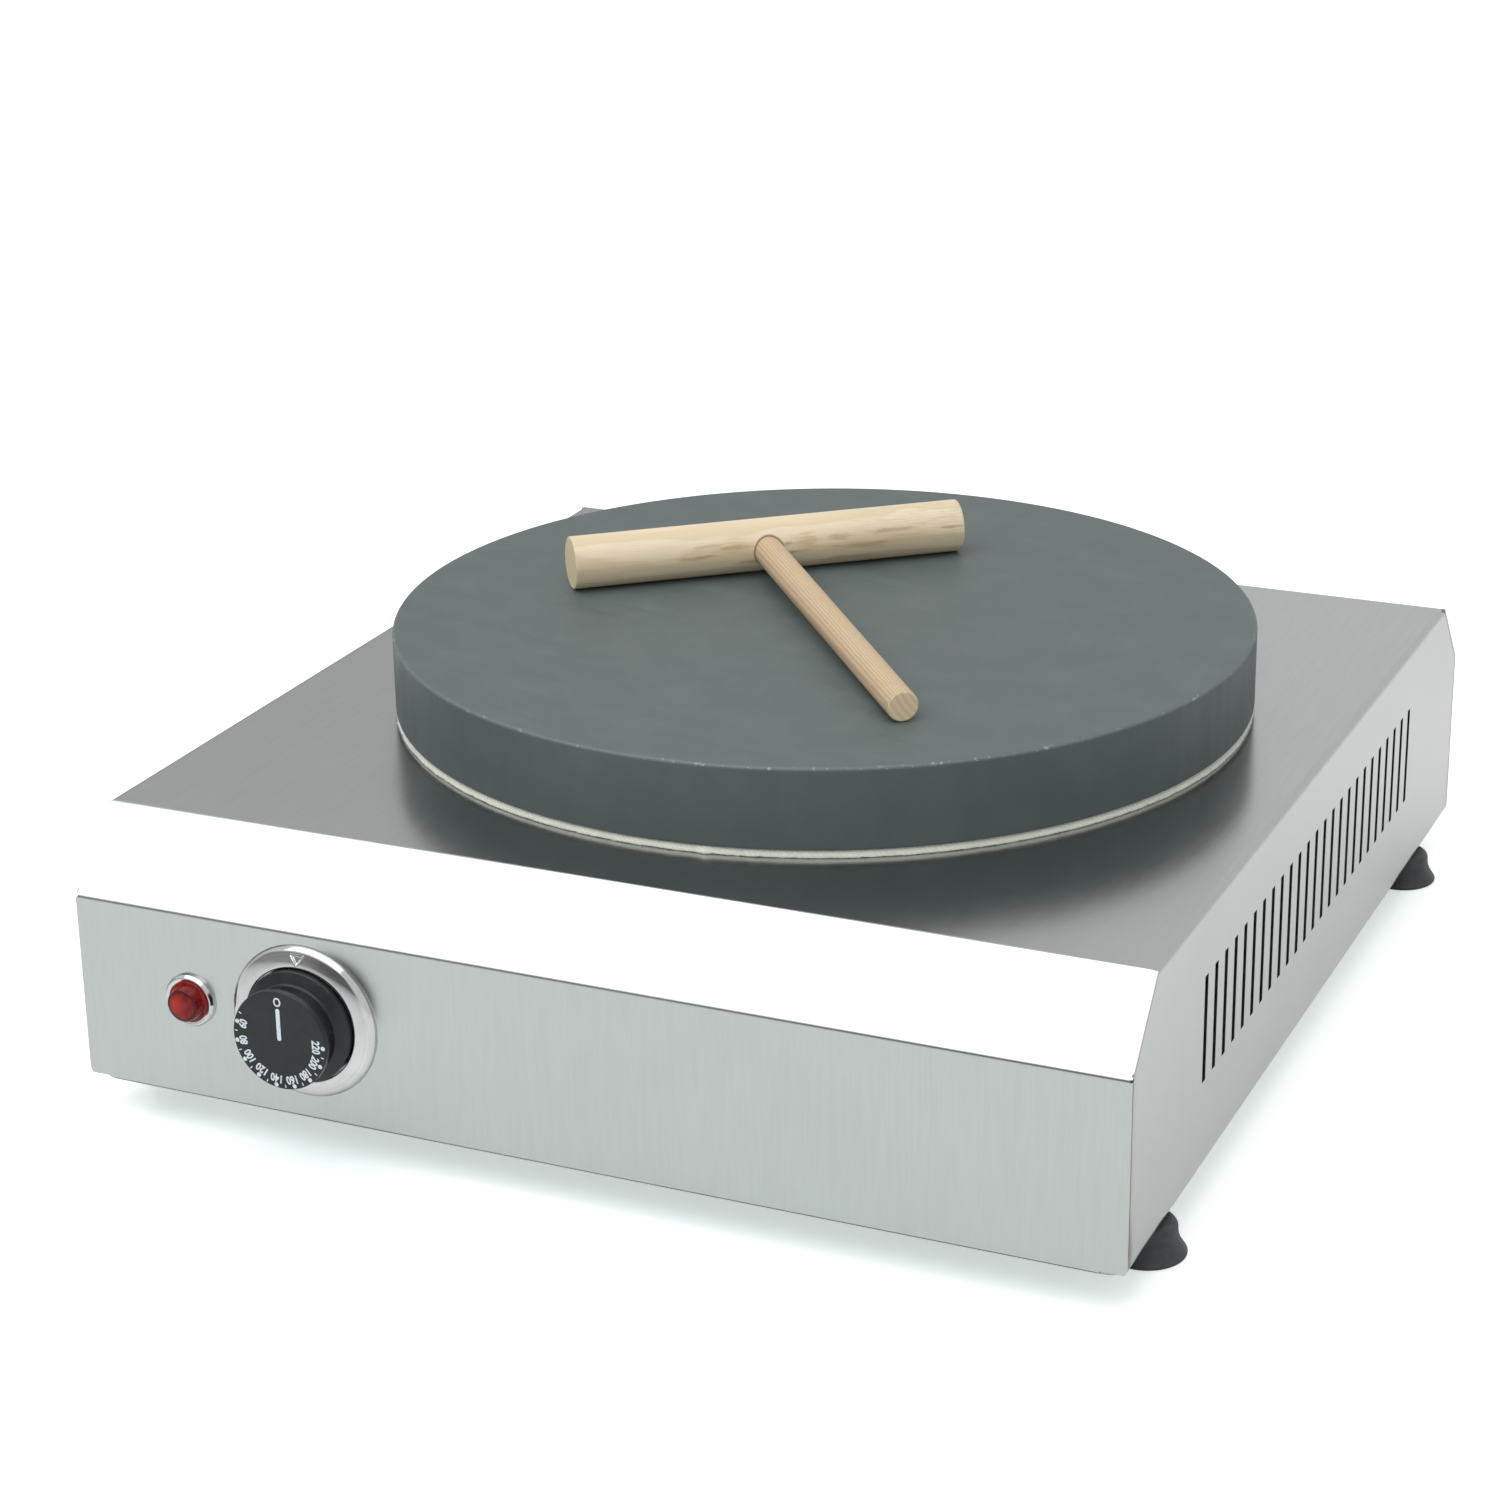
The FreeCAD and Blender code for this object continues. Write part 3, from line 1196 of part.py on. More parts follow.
def gland_axis(y):
    return vec(GLAND_X, y, GLAND_LEVEL)


def make_gland_body():
    flange_end = REAR + GLAND_FLANGE_THICKNESS
    inner_start = REAR_INSIDE - GLAND_INNER_THREAD
    outer_end = flange_end + GLAND_OUTER_THREAD
    flange = hexagon(GLAND_HEX_WIDTH, GLAND_FLANGE_THICKNESS, gland_axis(REAR), INWARD)
    stem = cylinder(GLAND_THREAD_RADIUS, outer_end - inner_start, gland_axis(inner_start), INWARD)
    bore = cylinder(GLAND_BORE_RADIUS, outer_end - inner_start, gland_axis(inner_start), INWARD)
    return fused([flange, stem]).cut(bore)


def make_gland_locknut():
    start = gland_axis(REAR_INSIDE - GLAND_LOCKNUT_HEIGHT)
    return nut(GLAND_HEX_WIDTH, GLAND_LOCKNUT_HEIGHT, GLAND_THREAD_RADIUS + THREAD_GAP, start, INWARD)


def make_gland_dome_nut():
    start = REAR + GLAND_FLANGE_THICKNESS
    end = start + DOME_NUT_LENGTH
    flats = hexagon(GLAND_HEX_WIDTH, DOME_NUT_FLAT_LENGTH, gland_axis(start), INWARD)
    corner_radius = GLAND_HEX_WIDTH / math.sqrt(3)
    dome = turned([
        (0, start, 0),
        (GLAND_HEX_WIDTH / 2, start, 0),
        (GLAND_HEX_WIDTH / 2, end - HOLE_GAP, DOME_NUT_ROUNDING - HOLE_GAP),
        (DOME_NUT_TIP_RADIUS, end, 0),
        (0, end, 0),
    ], gland_axis(0), INWARD)
    softener = turned([
        (0, start, 0),
        (corner_radius, start, 0),
        (corner_radius, start + DOME_NUT_FLAT_LENGTH, DOME_NUT_CORNER_ROUNDING),
        (0, start + DOME_NUT_FLAT_LENGTH, 0),
    ], gland_axis(0), INWARD)
    cavity = fused([
        cylinder(GLAND_THREAD_RADIUS + THREAD_GAP, GLAND_OUTER_THREAD, gland_axis(start), INWARD),
        cylinder(SEAL_RADIUS + THREAD_GAP, GLAND_OUTER_THREAD + SEAL_LENGTH, gland_axis(start), INWARD),
        cylinder(DOME_NUT_MOUTH_RADIUS, end - start, gland_axis(start), INWARD),
    ])
    return fused([flats.common(softener), dome]).cut(cavity)


def make_gland_seal():
    start = REAR + GLAND_FLANGE_THICKNESS + GLAND_OUTER_THREAD
    return washer(SEAL_RADIUS, CABLE_RADIUS, SEAL_LENGTH, gland_axis(start), INWARD)


def pole_x(index):
    return BLOCK_X + (index - (POLE_COUNT - 1) / 2) * POLE_PITCH


def pole_level():
    return BLOCK_BOTTOM + BLOCK_HEIGHT / 2


def terminal_screw_places():
    places = []
    for index in range(POLE_COUNT):
        for side in (-1, 1):
            places.append(vec(pole_x(index), BLOCK_Y + side * TERMINAL_SCREW_SPACING / 2, pole_level()))
    return places


def make_terminal_block():
    half_depth = BLOCK_DEPTH / 2
    half_length = BLOCK_LENGTH / 2
    core = half_length - BLOCK_LUG_LENGTH
    base = box(
        vec(BLOCK_X - half_length, BLOCK_Y - half_depth, BLOCK_BOTTOM),
        vec(BLOCK_X + half_length, BLOCK_Y + half_depth, BLOCK_BOTTOM + BLOCK_LUG_HEIGHT))
    raised = box(
        vec(BLOCK_X - core, BLOCK_Y - half_depth, BLOCK_BOTTOM),
        vec(BLOCK_X + core, BLOCK_Y + half_depth, BLOCK_BOTTOM + BLOCK_HEIGHT))
    humps = []
    for index in range(POLE_COUNT):
        start = vec(pole_x(index), BLOCK_Y - half_depth, BLOCK_BOTTOM + BLOCK_HEIGHT - POLE_HUMP_RADIUS / 2)
        humps.append(cylinder(POLE_HUMP_RADIUS, BLOCK_DEPTH, start, INWARD))
    block = fused([base, raised] + humps)
    cutters = []
    for index in range(POLE_COUNT):
        start = vec(pole_x(index), BLOCK_Y - half_depth, pole_level())
        cutters.append(cylinder(INSERT_RADIUS + THREAD_GAP, BLOCK_DEPTH, start, INWARD))
    for place in terminal_screw_places():
        cutters.append(cylinder(TERMINAL_SCREW_RADIUS + HOLE_GAP, BLOCK_HEIGHT * 2, place))
    for place in block_screw_places():
        cutters.append(cylinder(BLOCK_SCREW_RADIUS + HOLE_GAP, BLOCK_LUG_HEIGHT, place))
    return block.cut(fused(cutters))


def make_terminal_inserts():
    inserts = []
    for index in range(POLE_COUNT):
        start = vec(pole_x(index), BLOCK_Y - BLOCK_DEPTH / 2, pole_level())
        insert = cylinder(INSERT_RADIUS, BLOCK_DEPTH, start, INWARD)
        cutters = [cylinder(WIRE_RADIUS + WIRE_GAP, BLOCK_DEPTH, start, INWARD)]
        for place in terminal_screw_places()[2 * index:2 * index + 2]:
            cutters.append(cylinder(TERMINAL_SCREW_RADIUS + THREAD_GAP, 2 * INSERT_RADIUS, place))
        inserts.append(insert.cut(fused(cutters)))
    return Part.makeCompound(inserts)


def make_terminal_screws():
    low = WIRE_RADIUS + RUNNING_GAP
    height = BLOCK_HEIGHT / 2 + POLE_HUMP_RADIUS / 2 - low - TERMINAL_SCREW_SINK
    return Part.makeCompound([
        cylinder(TERMINAL_SCREW_RADIUS, height, place + UP * low) for place in terminal_screw_places()])


def make_terminal_block_screws():
    length = BLOCK_LUG_HEIGHT + COVER_THICKNESS + BLOCK_SCREW_TIP
    return Part.makeCompound([
        pan_head_screw(BLOCK_SCREW_RADIUS, BLOCK_SCREW_HEAD_RADIUS, BLOCK_SCREW_HEAD_HEIGHT,
                       length, place + UP * BLOCK_LUG_HEIGHT, DOWN)
        for place in block_screw_places()])


def earth_axis(y):
    return vec(EARTH_STUD_X, y, BODY_BOTTOM + EARTH_STUD_HEIGHT)


def make_earth_stud():
    start = REAR_INSIDE - EARTH_STUD_LENGTH
    return cylinder(EARTH_STUD_RADIUS, EARTH_STUD_LENGTH, earth_axis(start), INWARD)


def make_earth_nuts():
    bore = EARTH_STUD_RADIUS + THREAD_GAP
    first = REAR_INSIDE - EARTH_NUT_HEIGHT
    second = first - EARTH_LUG_SPACE - EARTH_NUT_HEIGHT
    return Part.makeCompound([
        nut(EARTH_NUT_WIDTH, EARTH_NUT_HEIGHT, bore, earth_axis(start), INWARD) for start in (first, second)])


def pin_end(loop_radius, side):
    axis_point = leg_frame(loop_radius, side)[3]
    return vec(axis_point.x, axis_point.y, leg_bottom() - PIN_LENGTH)


def tab_end(place):
    return place + INWARD * TAB_LENGTH


def pole_entry(index):
    return vec(pole_x(index), BLOCK_Y - BLOCK_DEPTH / 2 + WIRE_ENTRY, pole_level())


def beside_line(start, end, stations):
    """Points beside the line from start to end: (share of the way, sideways, level)."""
    way = vec(end.x - start.x, end.y - start.y, 0)
    sideways = UP.cross(way).normalize()
    points = []
    for share, bow, level in stations:
        point = start + way * share + sideways * bow
        points.append(vec(point.x, point.y, level))
    return points


def wire_routes():
    """Hand-chosen routes between the terminals, resting on the base cover in between."""
    left_tab, right_tab = [tab_end(place) for place in tab_places()]
    lamp_left, lamp_right = [tab_end(place) for place in lamp_tab_places()]
    outer_left = pin_end(OUTER_LOOP_RADIUS, -1)
    outer_right = pin_end(OUTER_LOOP_RADIUS, 1)
    inner_left = pin_end(INNER_LOOP_RADIUS, -1)
    inner_right = pin_end(INNER_LOOP_RADIUS, 1)
    neutral, live, earth = [pole_entry(index) for index in range(POLE_COUNT)]
    floor = BODY_BOTTOM + WIRE_RADIUS + WIRE_GAP
    near_floor = floor + WIRE_RADIUS
    flange_floor = floor + SHEET
    lamp_floor = BODY_BOTTOM + LAMP_WIRE_RADIUS + WIRE_GAP
    earth_y = REAR_INSIDE - EARTH_NUT_HEIGHT - EARTH_LUG_SPACE / 2
    earth_end = earth_axis(earth_y) + DOWN * (EARTH_STUD_RADIUS + RUNNING_GAP)
    neutral_side = inner_right + vec(-PIN_RADIUS - RUNNING_GAP, 0, PIN_LENGTH / 2)
    tab_underside = tab_places()[0] + vec(0, TAB_LENGTH / 2, -TAB_WIDTH / 2)
    live_down = vec(KNOB_X + 9.7, FRONT + 104, near_floor)
    live_up = vec(BLOCK_X - 15, BLOCK_Y - 58, floor)
    heat_down = vec(KNOB_X - 8.3, FRONT + 114, near_floor)
    heat_up = outer_left + vec(-15, -27, near_floor - outer_left.z)
    neutral_down = inner_right + vec(14, 13, floor + 2.3 - inner_right.z)
    neutral_up = vec(BLOCK_X - 22, BLOCK_Y - 37, near_floor)
    lamp_down = vec(LAMP_X - 2.6, FRONT + 100, floor + 2.3)
    lamp_up = inner_right + vec(-36, -15, floor + 2.3 - inner_right.z)
    routes = {}
    routes["wire_live"] = [
        right_tab,
        right_tab + vec(0, 14, 0),
        vec(KNOB_X + 2.7, FRONT + 76, BODY_BOTTOM + 20),
        live_down,
    ] + beside_line(live_down, live_up, [
        (0.16, 1.9, floor), (0.30, -0.6, floor), (0.45, -3.7, floor),
        (0.59, -5.4, floor), (0.74, -4.3, floor), (0.88, -1.8, floor),
    ]) + [
        live_up,
        vec(live.x, BLOCK_Y - 31, live.z),
        live,
    ]
    routes["wire_heat"] = [
        left_tab,
        left_tab + vec(0, 16, 0),
        vec(KNOB_X - 12.3, FRONT + 82, BODY_BOTTOM + 20),
        heat_down,
    ] + beside_line(heat_down, heat_up, [
        (0.20, 15, floor), (0.41, 25, floor), (0.63, 27, floor), (0.85, 17.4, floor),
    ]) + [
        heat_up,
        vec(outer_left.x, outer_left.y, BODY_BOTTOM + 16),
        outer_left,
    ]
    routes["wire_link"] = [
        outer_right,
        vec(outer_right.x, outer_right.y, BODY_BOTTOM + 22),
        vec((outer_right.x + inner_left.x) / 2, (outer_right.y + inner_left.y) / 2, BODY_BOTTOM + 14),
        vec(inner_left.x, inner_left.y, BODY_BOTTOM + 22),
        inner_left,
    ]
    routes["wire_neutral"] = [
        inner_right,
        vec(inner_right.x, inner_right.y, BODY_BOTTOM + 20),
        neutral_down,
    ] + beside_line(neutral_down, neutral_up, [
        (0.35, -4.9, floor), (0.74, -4.9, floor),
    ]) + [
        neutral_up,
        vec(neutral.x, BLOCK_Y - 22, neutral.z),
        neutral,
    ]
    routes["wire_earth"] = [
        earth,
        vec(earth.x, BLOCK_Y - 25, earth.z),
        vec(BLOCK_X + 13, BLOCK_Y - 41, flange_floor + 1.6),
        vec(BLOCK_X + 21, BLOCK_Y - 53, flange_floor),
        vec(BLOCK_X + 35, BLOCK_Y - 53, flange_floor),
        vec(BLOCK_X + 43, BLOCK_Y - 41, flange_floor),
        vec(BLOCK_X + 44, BLOCK_Y - 15, flange_floor),
        vec(earth_end.x, BLOCK_Y + 15, flange_floor),
        vec(earth_end.x, REAR - 22, flange_floor + 1.1),
        vec(earth_end.x, earth_y, BODY_BOTTOM + 15),
        earth_end,
    ]
    routes["wire_lamp_live"] = [
        lamp_right,
        lamp_right + vec(0, 14, 0),
        vec(LAMP_X + 13.4, FRONT + 58, CONTROL_LEVEL - 11.2),
        vec(LAMP_X + 27.4, FRONT + 56, CONTROL_LEVEL - 23.2),
        tab_underside + DOWN * 16,
        tab_underside,
    ]
    routes["wire_lamp_neutral"] = [
        lamp_left,
        lamp_left + vec(0, 14, 0),
        vec(LAMP_X - 4.6, FRONT + 70, BODY_BOTTOM + 24),
        lamp_down,
    ] + beside_line(lamp_down, lamp_up, [
        (0.17, 21, lamp_floor), (0.36, 42.8, lamp_floor), (0.56, 57.3, lamp_floor),
        (0.71, 53.1, floor + 1.8), (0.81, 42.6, floor + 7.3), (0.895, 30.9, floor + 7.3),
        (0.957, 17.2, floor + 1.3),
    ]) + [
        lamp_up,
        inner_right + vec(-22, -9, BODY_BOTTOM + 26 - inner_right.z),
        neutral_side + vec(-18, 0, 0),
        neutral_side,
    ]
    return routes


def spreader_frame():
    """The roller's middle, its direction and the direction the handle points in."""
    heading = math.radians(ROLLER_HEADING)
    along = vec(math.cos(heading), math.sin(heading), 0)
    away = vec(math.sin(heading), -math.cos(heading), 0)
    middle = vec(ROLLER_X, ROLLER_Y, PLATE_TOP + REST_GAP + ROLLER_RADIUS)
    return middle, along, away


def handle_line():
    """Start on the roller's axis, and the handle's direction: its far end rests on the plate."""
    middle, along, away = spreader_frame()
    drop = math.asin((ROLLER_RADIUS - HANDLE_RADIUS) / HANDLE_REACH)
    direction = away * math.cos(drop) + DOWN * math.sin(drop)
    return middle + along * HANDLE_OFFSET, direction


def make_spreader_roller():
    middle, along, _ = spreader_frame()
    half = ROLLER_LENGTH / 2
    roller = turned([
        (0, -half, 0),
        (ROLLER_RADIUS, -half, ROLLER_EDGE_RADIUS),
        (ROLLER_RADIUS, half, ROLLER_EDGE_RADIUS),
        (0, half, 0),
    ], middle, along)
    start, direction = handle_line()
    depth = HANDLE_TENON + ROLLER_RADIUS
    hole = cylinder(HANDLE_RADIUS + THREAD_GAP, depth, start - direction * HANDLE_TENON, direction)
    return roller.cut(hole)


def make_spreader_handle():
    start, direction = handle_line()
    back = -HANDLE_TENON + THREAD_GAP
    return turned([
        (0, back, 0),
        (HANDLE_RADIUS, back, 0),
        (HANDLE_RADIUS, HANDLE_REACH, HANDLE_EDGE_RADIUS),
        (0, HANDLE_REACH, 0),
    ], start, direction)


def build():
    parts = {
        "housing": make_housing(),
        "base_cover": make_base_cover(),
        "base_cover_screws": make_base_cover_screws(),
        "foot_screws": make_foot_screws(),
        "foot_nuts": make_foot_nuts(),
        "hotplate": make_hotplate(),
        "gasket_ring": make_gasket_ring(),
        "heating_element_outer": make_heating_element(OUTER_LOOP_RADIUS),
        "heating_element_inner": make_heating_element(INNER_LOOP_RADIUS),
        "element_clamp_plate": make_element_clamp_plate(),
        "plate_studs": make_plate_studs(),
        "clamp_washers": make_clamp_washers(),
        "clamp_nuts": make_clamp_nuts(),
        "insulation_disc": make_insulation_disc(),
        "heat_shield_pan": make_heat_shield_pan(),
        "pan_washers": make_pan_washers(),
        "pan_nuts": make_pan_nuts(),
        "thermostat_frame": make_thermostat_frame(),
        "thermostat_body": make_thermostat_body(),
        "thermostat_terminals": make_thermostat_terminals(),
        "thermostat_screws": make_thermostat_screws(),
        "thermostat_shaft": make_thermostat_shaft(),
        "control_knob": make_control_knob(),
        "knob_bezel": make_knob_bezel(),
        "sensor_bulb": make_sensor_bulb(),
        "bulb_springs": make_bulb_springs(),
        "pilot_lens": make_pilot_lens(),
        "pilot_bezel": make_pilot_bezel(),
        "pilot_body": make_pilot_body(),
        "pilot_nut": make_pilot_nut(),
        "pilot_terminals": make_pilot_terminals(),
        "gland_body": make_gland_body(),
        "gland_locknut": make_gland_locknut(),
        "gland_dome_nut": make_gland_dome_nut(),
        "gland_seal": make_gland_seal(),
        "terminal_block": make_terminal_block(),
        "terminal_inserts": make_terminal_inserts(),
        "terminal_screws": make_terminal_screws(),
        "terminal_block_screws": make_terminal_block_screws(),
        "earth_stud": make_earth_stud(),
        "earth_nuts": make_earth_nuts(),
        "spreader_roller": make_spreader_roller(),
        "spreader_handle": make_spreader_handle(),
    }
    for name, place in foot_places().items():
        parts[name] = make_foot(place)
    tubes = {"capillary_tube": make_capillary_tube()}
    for name, points in wire_routes().items():
        radius = LAMP_WIRE_RADIUS if "lamp" in name else WIRE_RADIUS
        tubes[name] = tube(points, radius)
    for name, (solid, radii, share) in tubes.items():
        parts[name] = solid
        print(name, "bend radii", [round(radius, 1) for radius in radii], "volume share", round(share, 4))
    return parts


def main():
    os.makedirs("parts", exist_ok=True)
    for name, shape in build().items():
        shape.exportStep("parts/" + name + ".step")
        print(name, len(shape.Solids), "solids", round(shape.Volume), "mm3", shape.isValid())


main()
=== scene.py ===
"""Electric crepe maker: finishes, printed dial, sealing cord, floor, lights and camera.

Metres, +Z up, +X to the right seen from the front, control panel towards -Y.
"""
import json
import math

import bmesh
import bpy
from mathutils import Matrix, Vector, noise


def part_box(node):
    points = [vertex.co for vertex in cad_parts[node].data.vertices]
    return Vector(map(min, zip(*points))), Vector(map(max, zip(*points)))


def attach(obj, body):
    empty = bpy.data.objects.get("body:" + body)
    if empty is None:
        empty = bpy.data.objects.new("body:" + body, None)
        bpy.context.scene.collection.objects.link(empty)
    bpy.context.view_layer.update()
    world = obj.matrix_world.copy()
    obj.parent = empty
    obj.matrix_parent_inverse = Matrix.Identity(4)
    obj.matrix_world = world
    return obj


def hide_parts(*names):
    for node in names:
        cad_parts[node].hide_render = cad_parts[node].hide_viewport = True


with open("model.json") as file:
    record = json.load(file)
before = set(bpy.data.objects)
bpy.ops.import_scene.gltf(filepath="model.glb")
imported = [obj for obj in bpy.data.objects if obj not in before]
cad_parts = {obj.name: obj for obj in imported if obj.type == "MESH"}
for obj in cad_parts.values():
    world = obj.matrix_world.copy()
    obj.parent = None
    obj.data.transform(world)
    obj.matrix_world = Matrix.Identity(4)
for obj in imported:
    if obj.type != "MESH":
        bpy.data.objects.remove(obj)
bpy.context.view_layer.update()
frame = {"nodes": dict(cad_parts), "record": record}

bl_info = {
    "name": "Electric crepe maker",
    "version": (1, 0, 0),
    "blender": (4, 5, 0),
    "location": "3D View > Sidebar > Crepe maker",
    "description": "Finishes, printed dial, sealing cord and studio of an electric crepe maker",
    "category": "Object",
}

# Places read from the packed parts
HOUSING_LOW, HOUSING_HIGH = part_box("housing")
HOUSING_WIDTH = HOUSING_HIGH.x - HOUSING_LOW.x
HOUSING_DEPTH = HOUSING_HIGH.y - HOUSING_LOW.y
PLATE_LOW, PLATE_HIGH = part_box("hotplate")
PLATE_RADIUS = (PLATE_HIGH.x - PLATE_LOW.x) / 2
PLATE_AXIS = (PLATE_LOW + PLATE_HIGH) / 2
CORD_LOW, CORD_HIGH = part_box("gasket_ring")
KNOB_LOW, KNOB_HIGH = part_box("control_knob")
KNOB_AXIS = (KNOB_LOW + KNOB_HIGH) / 2
DIAL_FACE = KNOB_LOW.y
BEZEL_LOW, BEZEL_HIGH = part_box("knob_bezel")
BEZEL_RADIUS = (BEZEL_HIGH.x - BEZEL_LOW.x) / 2
LAMP_LOW, LAMP_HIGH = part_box("pilot_lens")
LAMP_AXIS = (LAMP_LOW + LAMP_HIGH) / 2
ROLLER_LOW, ROLLER_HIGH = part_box("spreader_roller")
ROLLER_MIDDLE = (ROLLER_LOW + ROLLER_HIGH) / 2
HANDLE_LOW, HANDLE_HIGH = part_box("spreader_handle")
HANDLE_MIDDLE = (HANDLE_LOW + HANDLE_HIGH) / 2

# Levels of the housing's folds
CREASE_LEVEL = 0.090
TOP_LEVEL = 0.120

# The handle leaves the roller this far from the roller's middle
HANDLE_OFFSET = -0.0018

# Pressed bezel round the knob: distance in from its outer edge, height above the panel
BEZEL_PROFILE = [
    (0.0, 0.0),
    (0.0001, 0.00060),
    (0.0002, 0.00090),
    (0.0004, 0.00125),
    (0.0007, 0.00165),
    (0.0010, 0.00198),
    (0.0013, 0.00224),
    (0.0017, 0.00250),
    (0.0022, 0.00275),
    (0.0030, 0.00308),
    (0.0040, 0.00343),
    (0.0050, 0.00374),
    (0.0060, 0.00400),
    (0.0068, 0.00415),
    (0.0072, 0.00417),
    (0.0075, 0.00408),
    (0.0077, 0.00380),
    (0.00775, 0.00340),
    (0.00775, 0.0),
]

# The pointer is pressed in above this height, within this angle in radians
POINTER_LEVEL = 0.002
POINTER_REACH = 0.3

# Brown streaks in the roller: along it, height on its side, length, width, strength
ROLLER_STREAKS = [
    (-0.0325, 0.0002, 0.0085, 0.0009, 0.9),
    (-0.0285, 0.0045, 0.0060, 0.0008, 0.7),
    (-0.0165, 0.0030, 0.0100, 0.0008, 0.6),
    (-0.0115, -0.0038, 0.0055, 0.0010, 0.6),
    (0.0060, 0.0027, 0.0028, 0.0012, 1.0),
    (0.0085, -0.0011, 0.0050, 0.0013, 0.7),
    (0.0290, 0.0034, 0.0080, 0.0015, 0.6),
    (0.0405, -0.0011, 0.0120, 0.0014, 0.6),
    (0.0520, 0.0041, 0.0110, 0.0011, 0.7),
    (0.0330, -0.0068, 0.0140, 0.0016, 0.5),
    (0.0790, 0.0030, 0.0070, 0.0006, 0.9),
]

# Warm patches in the roller: along it, height, length, width, strength
ROLLER_PATCHES = [
    (0.0150, 0.0030, 0.0060, 0.0040, 1.0),
    (-0.0180, 0.0030, 0.0090, 0.0035, 0.6),
    (0.0450, 0.0000, 0.0260, 0.0060, 0.5),
]

# Hairline scratches: turn of each set in radians, shift of its pattern
HAIRLINE_TURNS = [
    (0.5, 0.0),
    (-0.9, 3.7),
    (1.9, 7.1),
]


def colour_setting(name, description, default):
    return bpy.props.FloatVectorProperty(
        name=name, description=description, subtype="COLOR", size=3, min=0.0, max=1.0, default=default)


def place_setting(name, description, default):
    return bpy.props.FloatVectorProperty(
        name=name, description=description, subtype="TRANSLATION", size=3, default=default)


def length_setting(name, description, default):
    return bpy.props.FloatProperty(name=name, description=description, unit="LENGTH", default=default)


def angle_setting(name, description, default):
    return bpy.props.FloatProperty(name=name, description=description, subtype="ANGLE", default=default)


def share_setting(name, description, default):
    return bpy.props.FloatProperty(
        name=name, description=description, subtype="FACTOR", min=0.0, max=1.0, default=default)


def level_setting(name, description, default):
    return bpy.props.FloatProperty(name=name, description=description, default=default)


def count_setting(name, description, default):
    return bpy.props.IntProperty(name=name, description=description, default=default)


class SheetSteelSettings(bpy.types.PropertyGroup):
    """Brushed stainless sheet of the housing."""
    colour: colour_setting("Colour", "Colour that the clean sheet reflects", (0.475, 0.505, 0.493))
    roughness: share_setting("Roughness", "How far the brushed face blurs what it reflects", 0.20)
    line_width: length_setting("Line width", "Width of one brush line", 0.0005)
    line_length: length_setting("Line length", "Length of one brush line", 0.022)
    line_contrast: share_setting(
        "Line contrast", "How much a brush line darkens or lightens the sheet", 0.028)
    weld_tint: colour_setting(
        "Weld tint", "Straw colour beside the welded corner seams", (0.42, 0.36, 0.22))
    tint_width: length_setting("Tint width", "Width of the tinted strip beside a seam", 0.0055)
    seam_inset: length_setting(
        "Seam inset", "Distance of the side seams behind the front and rear faces", 0.00135)


class HotplateSettings(bpy.types.PropertyGroup):
    """Seasoned cast hotplate."""
    top_colour: colour_setting(
        "Top colour", "Colour of the seasoned cooking surface", (0.093, 0.120, 0.117))
    side_colour: colour_setting("Side colour", "Colour of the plate's edge", (0.069, 0.089, 0.091))
    roughness: share_setting("Roughness", "Blur of the cooking surface", 0.52)
    wipe_width: length_setting("Wipe width", "Width of the faint wiping marks", 0.012)
    chip_size: length_setting("Chip size", "Size of the bare spots along the upper edge", 0.0022)


class SealingCordSettings(bpy.types.PropertyGroup):
    """Woven sealing cord between the hotplate and the housing."""
    colour: colour_setting("Colour", "Colour of the clean fibre", (0.74, 0.75, 0.65))
    width: length_setting("Width", "Width of the band under the plate's rim", 0.009)
    ragged: length_setting("Raggedness", "How far fibres stand out from the band", 0.00060)
    strand_pitch: length_setting(
        "Strand pitch", "Distance between the cord's strands along the ring", 0.0021)
    joint_angle: angle_setting(
        "Joint angle", "Direction of the cord's butt joint seen from the plate's middle",
        math.radians(278.1))


class DialSettings(bpy.types.PropertyGroup):
    """White print on the thermostat knob."""
    ink: colour_setting("Ink", "Colour of the print", (0.70, 0.78, 0.84))
    figure_height: length_setting("Figure height", "Height of the temperature figures", 0.0031)
    figure_squeeze: share_setting("Figure squeeze", "Width of a figure against the usual width", 0.80)
    figure_weight: length_setting("Figure weight", "Thickening of each stroke", 0.00015)
    figure_radius: length_setting(
        "Figure radius", "Distance of the figures' middle from the knob's axis", 0.0157)
    first_angle: angle_setting(
        "First angle", "Angle from the zero mark to the lowest temperature", math.radians(74.2))
    step_angle: angle_setting("Step angle", "Angle between neighbouring figures", math.radians(24.5))
    lowest: count_setting("Lowest", "Lowest temperature on the dial in degrees Celsius", 60)
    highest: count_setting("Highest", "Highest temperature on the dial in degrees Celsius", 220)
    step: count_setting("Step", "Degrees Celsius between neighbouring figures", 20)
    dot_radius: length_setting("Dot radius", "Radius of the dot outside each figure", 0.00088)
    dot_circle: length_setting("Dot circle", "Distance of dots and ticks from the knob's axis", 0.0184)
    tick_length: length_setting("Tick length", "Length of the ticks between the figures", 0.0013)
    tick_width: length_setting("Tick width", "Width of the ticks", 0.00042)
    zero_radius: length_setting("Zero circle", "Distance of the zero mark from the knob's axis", 0.0156)
    zero_width: length_setting("Zero width", "Width of the zero mark", 0.0031)
    zero_height: length_setting("Zero height", "Height of the zero mark", 0.0036)
    zero_stroke: length_setting("Zero stroke", "Width of the zero mark's stroke", 0.00062)
    line_start: length_setting("Line start", "Distance of the index line's outer end from the axis", 0.0130)
    line_width: length_setting("Line width", "Width of the index line", 0.0017)
    ink_thickness: length_setting("Ink thickness", "Thickness of the printed film", 0.00002)


